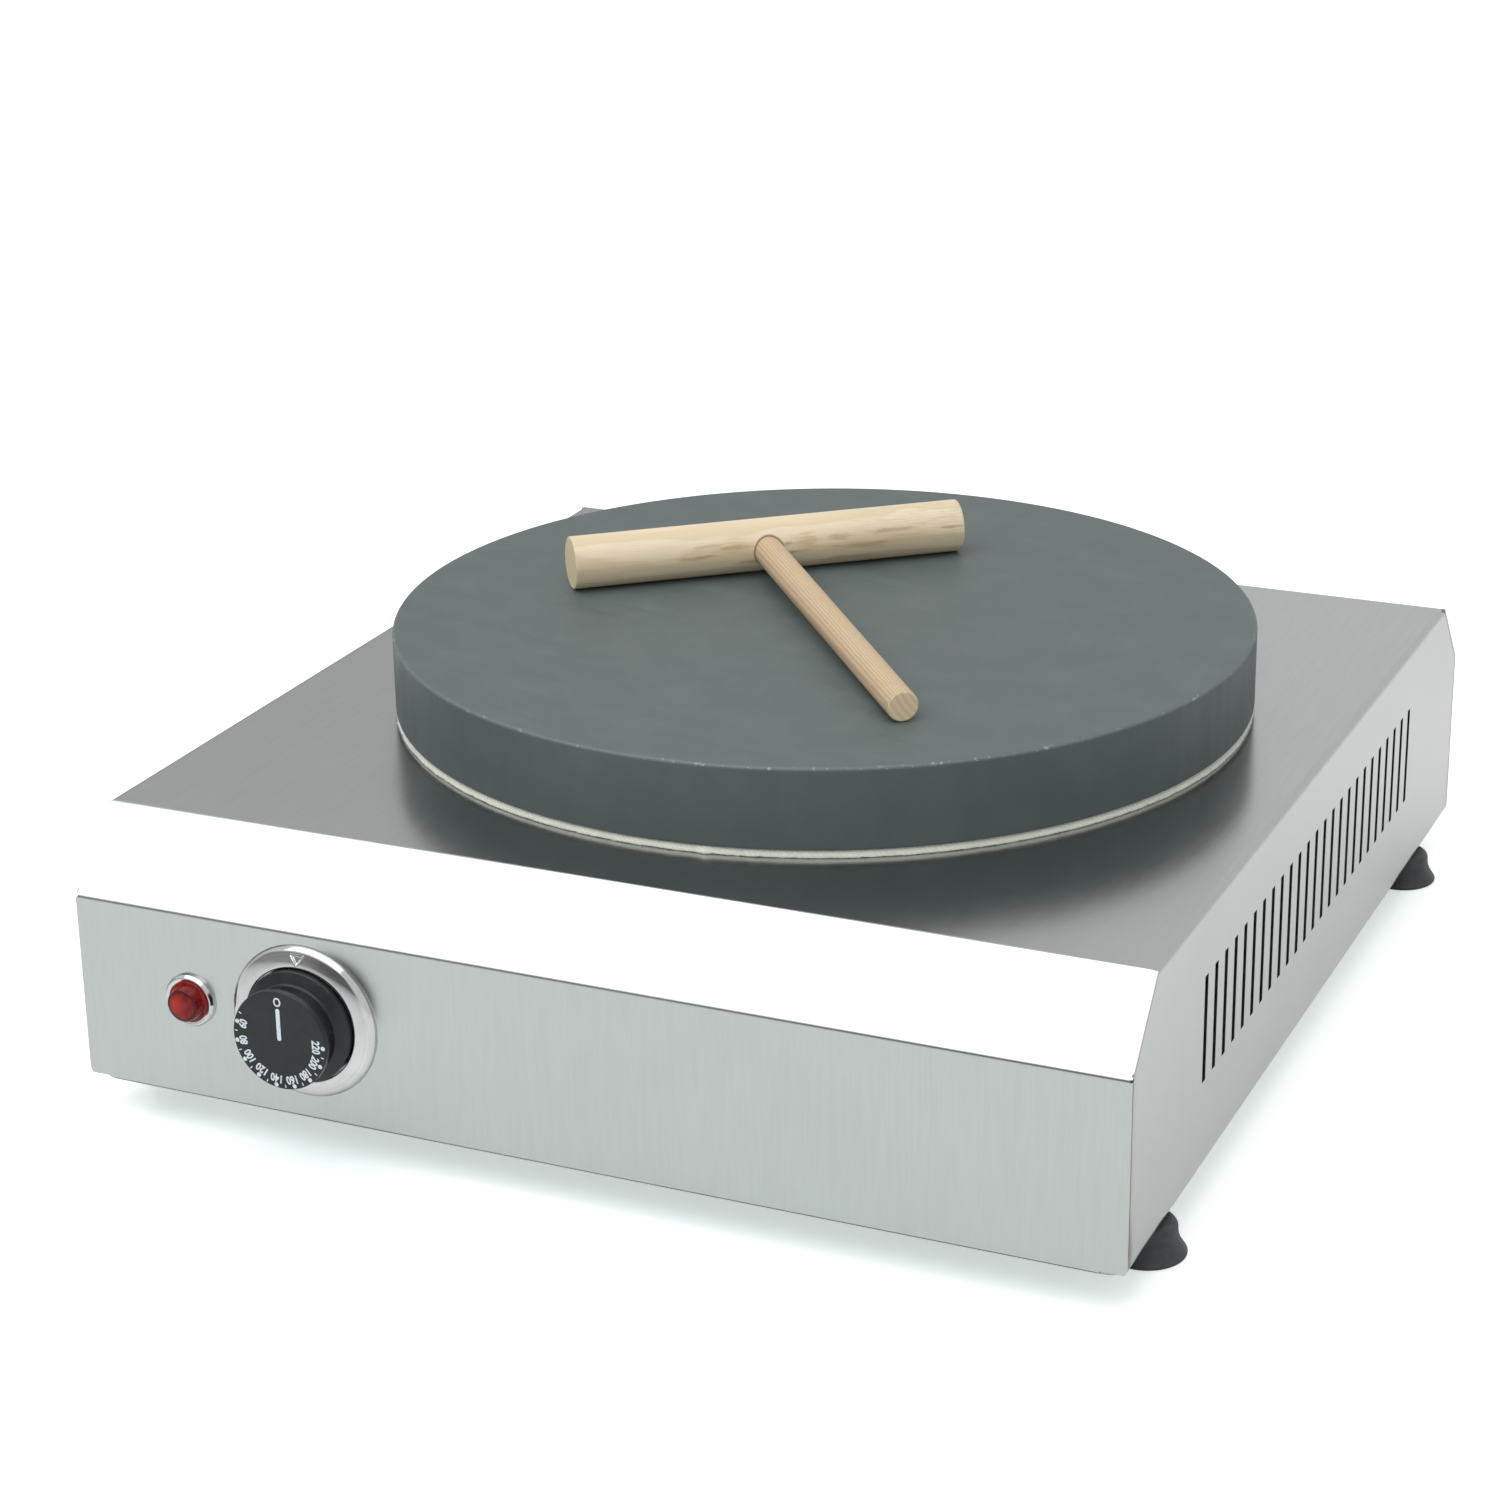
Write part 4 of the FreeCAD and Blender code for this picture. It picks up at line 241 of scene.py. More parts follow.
class BezelSettings(bpy.types.PropertyGroup):
    """Pressed bright bezel round the knob."""
    pointer_tip: length_setting(
        "Pointer tip", "Distance of the pressed pointer's tip from the knob's axis", 0.0238)
    pointer_root: length_setting(
        "Pointer root", "Distance of the pointer's wide end from the knob's axis", 0.0284)
    pointer_width: length_setting("Pointer width", "Width of the pointer's wide end", 0.0072)
    pointer_depth: length_setting("Pointer depth", "How deep the pointer is pressed in", 0.0008)
    pointer_slope: length_setting("Pointer slope", "Width of the slope round the pressed pointer", 0.0012)


class SpreaderSettings(bpy.types.PropertyGroup):
    """Wooden batter spreader."""
    roller_colour: colour_setting("Roller colour", "Pale wood of the roller", (0.765, 0.655, 0.475))
    handle_colour: colour_setting("Handle colour", "Pinkish wood of the handle", (0.58, 0.458, 0.308))
    heading: angle_setting("Heading", "Direction of the roller on the plate", math.radians(39.4))
    ring_spacing: length_setting("Ring spacing", "Distance between the handle's growth rings", 0.0011)
    fibre_width: length_setting("Fibre width", "Width of the finest fibres that show", 0.0005)


class StudioSettings(bpy.types.PropertyGroup):
    """Floor, lights and camera."""
    camera_place: place_setting("Camera place", "Where the camera stands", (0.532374, -1.255080, 0.620963))
    camera_yaw: angle_setting("Yaw", "Turn of the camera away from straight ahead", -0.42229)
    camera_pitch: angle_setting("Pitch", "Tilt of the camera, downwards when negative", -0.36663)
    camera_roll: angle_setting("Roll", "Tilt of the camera about its line of sight", -0.01555)
    lens: bpy.props.FloatProperty(
        name="Lens", description="Focal length", unit="CAMERA", default=85.1238)
    floor_size: length_setting("Floor size", "Length of one side of the floor", 40.0)
    floor_colour: colour_setting("Floor colour", "Colour of the floor", (0.98, 0.985, 0.985))
    key_place: place_setting("Key light place", "Middle of the large soft light", (-0.22, -0.62, 1.50))
    key_size: length_setting("Key light size", "Side of the large soft light", 1.9)
    key_power: bpy.props.FloatProperty(
        name="Key light power", description="Power of the large soft light",
        unit="POWER", default=19.0)
    surround: level_setting("Surround", "Level of the light from all round the object", 0.62)
    floor_glow: colour_setting(
        "Floor glow", "Light that the white floor sends to the camera by itself", (0.46, 0.50, 0.49))
    # Painted shadow: the floor's lower glow in the strip before the front panel
    shaded_glow: colour_setting(
        "Shaded glow", "The floor's glow in the strip before the front panel", (0.32, 0.39, 0.38))
    mirror_glow: share_setting("Mirror glow", "Share of the floor's glow that bright surfaces see", 0.24)
    horizon_level: level_setting(
        "Horizon level", "Level of the dark front of the room in bright surfaces", 0.16)


# Colours of wear, dirt and heat on the steel, and of the painted shade along its lower folds
DULLED_STEEL = (0.43, 0.45, 0.44)
BURNT_STEEL = (0.12, 0.085, 0.05)
GROOVE_DIRT = (0.06, 0.055, 0.045)
SEAM_LINE = (0.10, 0.09, 0.07)
FOLD_PAINTED_SHADE = (0.10, 0.11, 0.11)

# Colours on the hotplate
WORN_IRON = (0.20, 0.24, 0.235)
BARE_IRON = (0.33, 0.35, 0.33)
PITTED_IRON = (0.060, 0.072, 0.072)
PLATE_DUST = (0.36, 0.38, 0.37)

# Colours in the sealing cord and the mineral wool
LOOSE_FIBRE = (0.88, 0.88, 0.83)
SOILED_FIBRE = (0.50, 0.47, 0.37)
DARK_WOOL = (0.52, 0.46, 0.32)
PALE_WOOL = (0.78, 0.72, 0.56)
WOOL_SHADE = (0.30, 0.25, 0.16)

# Colours of rubber, plastic and the earth wire
DARK_RUBBER = (0.024, 0.029, 0.031)
PALE_RUBBER = (0.050, 0.058, 0.061)
SCUFFED_RUBBER = (0.090, 0.100, 0.103)
FLOOR_DUST = (0.30, 0.31, 0.30)
PLASTIC_DUST = (0.45, 0.45, 0.43)
WIRE_GREEN = (0.07, 0.26, 0.04)
WIRE_YELLOW = (0.72, 0.60, 0.05)
WIRE_SHADE = (0.03, 0.08, 0.02)

# Colours of the bright trim and the lens, with the lens's painted glow, painted dark rim and painted lit
# flange
DARK_TRIM = (0.52, 0.53, 0.53)
PALE_TRIM = (0.60, 0.61, 0.61)
SMUDGED_TRIM = (0.46, 0.43, 0.39)
DEEP_RED = (0.26, 0.003, 0.003)
MIDDLE_RED = (0.42, 0.012, 0.008)
LENS_PAINTED_GLOW = (0.78, 0.040, 0.012)
LENS_RIM_PAINTED_SHADE = (0.055, 0.002, 0.004)
LENS_FLANGE_PAINTED_LIGHT = (0.72, 0.030, 0.022)

# Colours in the wood
WARM_WOOD = (0.56, 0.37, 0.16)
BROWN_WOOD = (0.36, 0.26, 0.13)
GREY_WOOD = (0.50, 0.43, 0.29)
HOLE_RIM_WOOD = (0.12, 0.065, 0.035)
WOOD_PORES = (0.30, 0.19, 0.11)
PALE_ROLLER_END = (0.77, 0.65, 0.42)
DARK_ROLLER_END = (0.60, 0.48, 0.29)
PALE_HANDLE_END = (0.80, 0.66, 0.45)
DARK_HANDLE_END = (0.58, 0.45, 0.28)

# Light that the far floor sends to the camera
FAR_FLOOR_GLOW = (0.64, 0.64, 0.64)


class Signal:
    """What a shader node gives out; arithmetic with it adds the nodes that work the result out."""

    def __init__(self, socket):
        self.socket = socket
        self.tree = socket.id_data
        self.is_vector = socket.type == "VECTOR"

    def __add__(self, other):
        return reckon("ADD", self, other)

    def __radd__(self, other):
        return reckon("ADD", other, self)

    def __sub__(self, other):
        return reckon("SUBTRACT", self, other)

    def __rsub__(self, other):
        return reckon("SUBTRACT", other, self)

    def __mul__(self, other):
        return reckon("MULTIPLY", self, other)

    def __truediv__(self, other):
        return reckon("DIVIDE", self, other)

    def __rtruediv__(self, other):
        return reckon("DIVIDE", other, self)

    def __gt__(self, other):
        return reckon("GREATER_THAN", self, other)

    def __lt__(self, other):
        return reckon("LESS_THAN", self, other)

    def __abs__(self):
        return reckon("ABSOLUTE", self)


def tree_of(*values):
    """The node tree that the first signal among these values belongs to."""
    return next(value.tree for value in values if isinstance(value, Signal))


def outputs_of(made):
    """The outputs of a node by name."""
    return {socket.name: Signal(socket) for socket in made.outputs}


def wire_up(value, socket):
    """Feeds a socket from a signal, or sets it to a plain value."""
    if isinstance(value, Signal):
        value.tree.links.new(value.socket, socket)
    elif socket.type == "RGBA" and len(value) == 3:
        socket.default_value = (value[0], value[1], value[2], 1.0)
    else:
        socket.default_value = value


def add_node(tree, kind, settings=None, values=None):
    """Adds a shader node with its settings and the values of its inputs."""
    made = tree.nodes.new(kind)
    for name, value in (settings or {}).items():
        setattr(made, name, value)
    for label, value in (values or {}).items():
        wire_up(value, made.inputs[label])
    return made


def is_number(value):
    """True for a plain number and for a signal that carries one number."""
    return isinstance(value, (int, float)) or isinstance(value, Signal) and not value.is_vector


def reckon(operation, first, second=None, clamp=False):
    """One step of arithmetic, on vectors where the first value is one."""
    kind = "ShaderNodeVectorMath"
    output = "Vector"
    values = {0: first} if second is None else {0: first, 1: second}
    settings = {"operation": operation}
    if is_number(first):
        kind = "ShaderNodeMath"
        output = "Value"
        settings["use_clamp"] = clamp
    elif operation in ("LENGTH", "DOT_PRODUCT"):
        output = "Value"
    elif operation == "MULTIPLY" and is_number(second):
        settings = {"operation": "SCALE"}
        values = {0: first, "Scale": second}
    return outputs_of(add_node(tree_of(first, second), kind, settings, values))[output]


def larger(first, second):
    return reckon("MAXIMUM", first, second)


def length_of(vector):
    return reckon("LENGTH", vector)


def spread(value, low, high, start=0.0, end=1.0):
    """Maps a value between low and high smoothly to start and end."""
    made = add_node(value.tree, "ShaderNodeMapRange", {"interpolation_type": "SMOOTHSTEP"}, {
        "Value": value, "From Min": low, "From Max": high, "To Min": start, "To Max": end})
    return Signal(made.outputs["Result"])


def blend(share, first, second):
    """Mixes two colours."""
    settings = {"data_type": "RGBA", "clamp_result": True}
    made = add_node(share.tree, "ShaderNodeMix", settings, {0: share, 6: first, 7: second})
    return Signal(made.outputs[2])


def split(vector):
    """The x, y and z of a vector."""
    made = add_node(vector.tree, "ShaderNodeSeparateXYZ", None, {0: vector})
    return [Signal(socket) for socket in made.outputs]


def join(x, y, z):
    """A vector from x, y and z."""
    made = add_node(tree_of(x, y, z), "ShaderNodeCombineXYZ", None, {0: x, 1: y, 2: z})
    return Signal(made.outputs[0])


def cloud(position, detail=3.0, roughness=0.55, distortion=0.0):
    """Noise with cells of size one in the given position."""
    made = add_node(position.tree, "ShaderNodeTexNoise", None, {
        "Vector": position, "Scale": 1.0, "Detail": detail, "Roughness": roughness,
        "Distortion": distortion})
    return Signal(made.outputs[0])


def shades(colour, factor):
    """A colour times a factor, no brighter than white."""
    return [min(1.0, channel * factor) for channel in colour]


def turned_position(position, middle, heading):
    """The point in metres from a piece's middle, with x along the piece."""
    made = add_node(position.tree, "ShaderNodeMapping", {"vector_type": "TEXTURE"}, {
        "Vector": position, "Location": middle, "Rotation": (0.0, 0.0, heading)})
    return Signal(made.outputs["Vector"])


def face_normal(tree):
    """The direction that the surface faces."""
    return outputs_of(add_node(tree, "ShaderNodeNewGeometry"))["Normal"]


def start_effect(name, sizes, results):
    """A shader node group that takes a position and named sizes; returns what it is given and its end."""
    tree = bpy.data.node_groups.new(name, "ShaderNodeTree")
    kinds = {True: "NodeSocketVector", False: "NodeSocketFloat"}
    for label, value in [("Position", (0.0, 0.0, 0.0))] + list(sizes.items()):
        kind = kinds[isinstance(value, tuple)]
        tree.interface.new_socket(name=label, in_out="INPUT", socket_type=kind).default_value = value
    for label in results:
        tree.interface.new_socket(name=label, in_out="OUTPUT", socket_type=kinds[label == "Position"])
    given = outputs_of(tree.nodes.new("NodeGroupInput"))
    return given, tree.nodes.new("NodeGroupOutput").inputs


def make_brushed_lines():
    """Fine parallel lines along y and z of the given position, as rolled and brushed sheet has."""
    given, out = start_effect(
        "Brushed lines", {"Line Width": 0.0006, "Line Length": 0.035}, ["Shade", "Height"])
    across = 1.0 / given["Line Width"]
    along = 1.0 / given["Line Length"]
    fine = cloud(given["Position"] * join(across, along, along), 2.0, 0.6)
    wide_across = across * 0.17
    wide = cloud(given["Position"] * join(wide_across, along, along), 3.0, 0.6)
    both = fine * 0.6 + wide * 0.4
    wire_up(spread(both, 0.33, 0.67), out["Shade"])
    wire_up(fine, out["Height"])


def make_sheet_lay():
    """Turns the position so that x runs across the brush lines, on the sheet's faces and its sides."""
    given, out = start_effect("Sheet lay", {}, ["Position"])
    position = given["Position"]
    side = abs(split(face_normal(position.tree))[0]) > 0.6
    x, y, z = split(position)
    made = add_node(position.tree, "ShaderNodeMix", {"data_type": "VECTOR"}, {
        0: side, 4: position, 5: join(y, x, z)})
    wire_up(Signal(made.outputs[1]), out["Position"])


def make_soft_smudges():
    """Soft patches where hands and cloths have dulled the surface."""
    given, out = start_effect("Soft smudges", {"Patch Size": 0.06}, ["Mask"])
    patches = cloud(given["Position"] * (1.0 / given["Patch Size"]), 4.0, 0.6, 0.6)
    wire_up(spread(patches, 0.42, 0.72), out["Mask"])


def make_hairlines():
    """Sparse hairline scratches in three directions."""
    given, out = start_effect(
        "Hairline scratches", {"Scratch Length": 0.02, "Scratch Width": 0.0003, "Share": 0.3}, ["Mask"])
    long_way = 1.0 / given["Scratch Length"]
    narrow_way = 1.0 / given["Scratch Width"]
    total = None
    for angle, offset in HAIRLINE_TURNS:
        turned = add_node(given["Position"].tree, "ShaderNodeMapping", None, {
            "Vector": given["Position"], "Location": (offset, offset, offset),
            "Rotation": (angle * 0.4, angle * 0.7, angle)})
        stretched = Signal(turned.outputs[0]) * join(long_way, narrow_way, narrow_way)
        line = spread(cloud(stretched, 0.0), 0.80, 0.84)
        total = line if total is None else larger(total, line)
    wire_up(reckon("MULTIPLY", total, given["Share"], True), out["Mask"])


def make_settled_dust():
    """Fine dust that lies on faces that look up."""
    given, out = start_effect("Settled dust", {"Amount": 0.2}, ["Mask"])
    normal = face_normal(given["Position"].tree)
    upward = spread(split(normal)[2], 0.2, 0.95)
    veil = spread(cloud(given["Position"] * 45.0, 5.0, 0.65), 0.35, 0.75)
    specks = spread(cloud(given["Position"] * 900.0, 1.0, 0.5), 0.66, 0.74)
    dust = larger(veil * 0.5, specks)
    wire_up(dust * upward * given["Amount"], out["Mask"])


def make_moulded_skin():
    """Fine uneven skin of moulded plastic and rubber."""
    given, out = start_effect("Moulded skin", {"Cell": 0.0006}, ["Height", "Shade"])
    position = given["Position"] * (1.0 / given["Cell"])
    wire_up(cloud(position, 2.0, 0.6), out["Height"])
    wide = cloud(position * 0.06, 4.0, 0.6)
    wire_up(spread(wide, 0.35, 0.68), out["Shade"])


def make_turned_rings():
    """Concentric tool marks about an axis; Across drops the axis direction."""
    given, out = start_effect(
        "Turned rings", {"Centre": (0.0, 0.0, 0.0), "Across": (1.0, 0.0, 1.0), "Pitch": 0.0004},
        ["Height", "Shade"])
    flat = (given["Position"] - given["Centre"]) * given["Across"]
    radius = length_of(flat) / given["Pitch"]
    wobble = cloud(given["Position"] * 60.0, 2.0)
    rings = cloud(join(radius, wobble * 0.6, 0.0), 3.0, 0.6)
    wire_up(rings, out["Height"])
    wire_up(spread(rings, 0.35, 0.65), out["Shade"])


def make_wood_fibres():
    """Wood with x along the grain: growth rings about a pith line, fine fibres and pores."""
    given, out = start_effect(
        "Wood fibres",
        {"Pith": (0.0, 0.02, 0.0), "Ring Spacing": 0.0015, "Fibre Width": 0.0005, "Waviness": 0.002},
        ["Rings", "Fibres", "Pores", "Height"])
    slow = cloud(given["Position"] * (14.0, 90.0, 90.0), 3.0, 0.55)
    shift = (slow - 0.5) * given["Waviness"]
    from_pith = (given["Position"] - given["Pith"]) * (0.0, 1.0, 1.0)
    radius = length_of(from_pith) + shift
    turns = reckon("FRACT", radius / given["Ring Spacing"])
    wire_up(spread(turns, 0.15, 0.82) * spread(turns, 1.0, 0.9), out["Rings"])
    across = 1.0 / given["Fibre Width"]
    along = across * 0.035
    fibres = cloud(given["Position"] * join(along, across, across), 3.0, 0.6)
    wire_up(spread(fibres, 0.32, 0.68), out["Fibres"])
    pore_position = given["Position"] * join(across * 0.12, across, across)
    pores = spread(cloud(pore_position, 1.0, 0.5), 0.66, 0.72)
    wire_up(pores, out["Pores"])
    wire_up(fibres - pores * 0.5, out["Height"])


EFFECTS = {
    "Brushed lines": make_brushed_lines,
    "Sheet lay": make_sheet_lay,
    "Soft smudges": make_soft_smudges,
    "Hairline scratches": make_hairlines,
    "Settled dust": make_settled_dust,
    "Moulded skin": make_moulded_skin,
    "Turned rings": make_turned_rings,
    "Wood fibres": make_wood_fibres,
}


def effect(name, position, **sizes):
    """Places a shared effect in the position's material and returns its outputs."""
    if name not in bpy.data.node_groups:
        EFFECTS[name]()
    values = {label.replace("_", " ").title(): value for label, value in sizes.items()}
    values["Position"] = position
    return outputs_of(add_node(
        position.tree, "ShaderNodeGroup", {"node_tree": bpy.data.node_groups[name]}, values))


def smudged(position, patch_size):
    return effect("Soft smudges", position, patch_size=patch_size)["Mask"]


def scratched(position, length, width, share):
    return effect(
        "Hairline scratches", position, scratch_length=length, scratch_width=width, share=share)["Mask"]


def dusted(position, amount):
    return effect("Settled dust", position, amount=amount)["Mask"]


def new_finish(name, colour, roughness, metallic=0.0, constants=None):
    """A material with one Principled shader, and the point on the part in metres of its own frame."""
    made = bpy.data.materials.new(name)
    made.use_nodes = True
    made.diffuse_color = (colour[0], colour[1], colour[2], 1.0)
    values = {"Base Color": colour, "Roughness": roughness, "Metallic": metallic}
    values.update(constants or {})
    feed_shader(made, values)
    return made, outputs_of(add_node(made.node_tree, "ShaderNodeTexCoord"))["Object"]


def feed_shader(made, values):
    """Feeds inputs of a material's shader."""
    for label, value in values.items():
        wire_up(value, made.node_tree.nodes["Principled BSDF"].inputs[label])


def dress(made, colour, height, distance, strength, roughness=None):
    """Gives a material its colour, its raised surface and, where it varies, its roughness."""
    bump = add_node(height.tree, "ShaderNodeBump", None, {
        "Strength": strength, "Distance": distance, "Height": height})
    values = {"Base Color": colour, "Normal": Signal(bump.outputs["Normal"])}
    if roughness is not None:
        values["Roughness"] = roughness
    feed_shader(made, values)
    return made


def near(value, place, reach):
    """One where a value is at a place, falling to zero at its reach."""
    return spread(abs(value - place), reach, 0.0)


def sheet_steel_finish():
    settings = bpy.context.scene.crepe_sheet_steel
    made, position = new_finish("sheet_steel", settings.colour, settings.roughness, 1.0)
    laid = effect("Sheet lay", position)["Position"]
    lines = effect("Brushed lines", laid, line_width=settings.line_width, line_length=settings.line_length)
    smudges = smudged(position, 0.09)
    scratches = scratched(position, 0.018, 0.00028, 0.18)
    x, y, z = split(position)
    dark = shades(settings.colour, 1.0 - settings.line_contrast)
    light = shades(settings.colour, 1.0 + settings.line_contrast)
    colour = blend(lines["Shade"], dark, light)
    colour = blend(smudges * 0.05, colour, DULLED_STEEL)
    half_width = HOUSING_WIDTH / 2
    half_depth = HOUSING_DEPTH / 2
    from_front = spread(y, 0.05, -0.05, 0.3, 1.0)

    # Straw-coloured heat tint behind the seams of the front and rear sheets, browner at the bottom
    on_side = spread(abs(x), half_width - 0.0006, half_width - 0.0002)
    behind_seam = half_depth - settings.seam_inset - abs(y)
    tinted = spread(behind_seam, settings.tint_width, 0.0) * (behind_seam > -0.0004)
    uneven = spread(cloud(position * (260.0, 320.0, 60.0), 3.0, 0.6), 0.22, 0.7)
    tint = tinted * on_side * uneven * from_front
    upright = spread(z, CREASE_LEVEL + 0.004, CREASE_LEVEL - 0.004, 0.35, 1.0)
    colour = blend(tint * upright * 0.9, colour, settings.weld_tint)
    lowest = spread(z, HOUSING_LOW.z + 0.028, HOUSING_LOW.z + 0.010)
    colour = blend(tint * lowest * 0.95, colour, BURNT_STEEL)

    # Dark line where the seams' grooves have kept polish and dirt
    below_top = z < TOP_LEVEL - 0.003
    in_groove = (abs(x) < half_width - 0.00012) * near(behind_seam, 0.0, 0.0005)
    at_side = abs(x) > half_width - 0.0005
    colour = blend(in_groove * below_top * at_side * 0.85, colour, GROOVE_DIRT)
    beside = near(behind_seam, 0.0002, 0.0008) * (on_side * below_top) * from_front
    colour = blend(beside * 0.9, colour, SEAM_LINE)

    # Painted shade: a dark line where the front and rear sheets are folded in under the body, short of the
    # corners, standing in for the dark floor that the folds reflect
    at_bottom = spread(z, HOUSING_LOW.z + 0.0013, HOUSING_LOW.z + 0.0008)
    at_end = abs(y) > half_depth - 0.002
    between = spread(abs(x), half_width - 0.0100, half_width - 0.0110)
    colour = blend(at_bottom * at_end * between * 0.9, colour, FOLD_PAINTED_SHADE)
    rough = settings.roughness + lines["Shade"] * 0.02 + smudges * 0.03 + scratches * 0.08
    return dress(made, colour, lines["Height"] - scratches * 0.5, 0.000003, 0.3, rough)


def cast_plate_finish():
    settings = bpy.context.scene.crepe_hotplate
    made, position = new_finish("seasoned_plate", settings.top_colour, settings.roughness, 0.0, {
        "Specular IOR Level": 0.5})
    x, y, z = split(position)
    radius = length_of(join(x, y - PLATE_AXIS.y, 0.0))
    angle = reckon("ARCTAN2", y - PLATE_AXIS.y, x)

    # Long faint wiping marks, bent slightly round the plate
    wiped = join(x / (settings.wipe_width * 6.0), (y + x * 0.25) / settings.wipe_width, 0.0)
    wipe = cloud(wiped, 4.0, 0.62, 0.7)
    mottle = cloud(position * 30.0, 5.0, 0.65, 0.4)
    sweep = cloud(join(radius / 0.0035, angle * 2.2, 0.0), 3.0, 0.6)
    pits = spread(cloud(position * 1400.0, 2.0, 0.6), 0.60, 0.74)
    tone = spread(wipe, 0.3, 0.7) * 0.5 + spread(mottle, 0.3, 0.7) * 0.3 + spread(sweep, 0.3, 0.7) * 0.2
    top = blend(tone, shades(settings.top_colour, 0.86), shades(settings.top_colour, 1.12))

    # The turned edge is darker, with soft uneven patches
    runs = cloud(join(angle * 9.0, z * 40.0, 0.0), 4.0, 0.5)
    uneven = spread(runs, 0.3, 0.7)
    side = blend(uneven, shades(settings.side_colour, 0.95), shades(settings.side_colour, 1.06))
    rim = spread(radius, PLATE_RADIUS - 0.0012, PLATE_RADIUS - 0.0002)
    lower = spread(z, PLATE_HIGH.z - 0.0006, PLATE_HIGH.z - 0.0018)
    colour = blend(larger(rim, lower), top, side)

    # Worn line and small chips along the upper edge
    edge = near(radius, PLATE_RADIUS - 0.0004, 0.0012) * near(z, PLATE_HIGH.z - 0.0004, 0.0013)
    chips = spread(cloud(position * (1.0 / settings.chip_size), 3.0, 0.6), 0.60, 0.70)
    colour = blend(edge * 0.35, colour, WORN_IRON)
    colour = blend(edge * chips, colour, BARE_IRON)
    colour = blend(pits * 0.40, colour, PITTED_IRON)
    colour = blend(dusted(position, 0.10), colour, PLATE_DUST)
    rough = settings.roughness + (tone - 0.5) * 0.16
    return dress(made, colour, pits * -0.6 + sweep * 0.4, 0.00004, 0.5, rough)


def sealing_cord_finish():
    settings = bpy.context.scene.crepe_sealing_cord
    made, position = new_finish("sealing_cord", settings.colour, 0.92, 0.0, {
        "Sheen Weight": 0.35, "Sheen Roughness": 0.6, "Specular IOR Level": 0.2})
    x, y, z = split(position)
    slanted = reckon("ARCTAN2", y - PLATE_AXIS.y, x) * CORD_HIGH.x + z * 0.8
    strand = reckon("SINE", slanted * (2.0 * math.pi / settings.strand_pitch))
    fibre = cloud(position * 2600.0, 3.0, 0.65)
    soil = spread(cloud(position * 55.0, 4.0, 0.6), 0.45, 0.75)
    colour = blend(spread(strand, -1.0, 1.0), shades(settings.colour, 0.92), settings.colour)
    colour = blend(spread(fibre, 0.45, 0.7), colour, LOOSE_FIBRE)
    colour = blend(soil * 0.22, colour, SOILED_FIBRE)
    return dress(made, colour, strand * 0.5 + fibre, 0.00012, 0.8)


def rubber_finish():
    made, position = new_finish("foot_rubber", (0.022, 0.024, 0.025), 0.58, 0.0, {
        "Specular IOR Level": 0.45, "Sheen Weight": 0.08})
    skin = effect("Moulded skin", position, cell=0.0007)
    rings = cloud(join(split(position)[2] * 900.0, 0.0, 0.0), 3.0, 0.6)
    colour = blend(skin["Shade"], DARK_RUBBER, PALE_RUBBER)
    colour = blend(spread(rings, 0.55, 0.75) * 0.5, colour, SCUFFED_RUBBER)
    colour = blend(dusted(position, 0.25), colour, FLOOR_DUST)
    rough = spread(skin["Shade"], 0.0, 1.0, 0.48, 0.66)
    return dress(made, colour, skin["Height"] + rings * 0.8, 0.00005, 0.6, rough)


def moulded_finish(name, colour, roughness, cell, depth, specular):
    """Moulded plastic with a fine skin, slow tone changes, faint scratches and a little dust."""
    made, position = new_finish(name, colour, roughness, 0.0, {"Specular IOR Level": specular})
    skin = effect("Moulded skin", position, cell=cell)
    scratches = scratched(position, 0.006, 0.00014, 0.5)
    pale = [min(1.0, channel * 1.3 + 0.06) for channel in colour]
    shade = blend(skin["Shade"], shades(colour, 0.84), shades(colour, 1.18))
    shade = blend(scratches * 0.4, shade, pale)
    shade = blend(dusted(position, 0.10), shade, PLASTIC_DUST)
    rough = roughness + (skin["Shade"] - 0.5) * 0.12 + scratches * 0.2
    return dress(made, shade, skin["Height"] - scratches * 0.6, depth, 0.5, rough)


def bright_trim_finish():
    made, position = new_finish("bright_trim", (0.56, 0.57, 0.57), 0.10, 1.0)
    rings = effect("Turned rings", position, centre=KNOB_AXIS, across=(1.0, 0.0, 1.0), pitch=0.0007)
    smudges = smudged(position, 0.008)
    colour = blend(rings["Shade"], DARK_TRIM, PALE_TRIM)
    colour = blend(smudges * 0.25, colour, SMUDGED_TRIM)
    return dress(made, colour, rings["Height"], 0.000012, 0.5, spread(smudges, 0.0, 1.0, 0.09, 0.20))


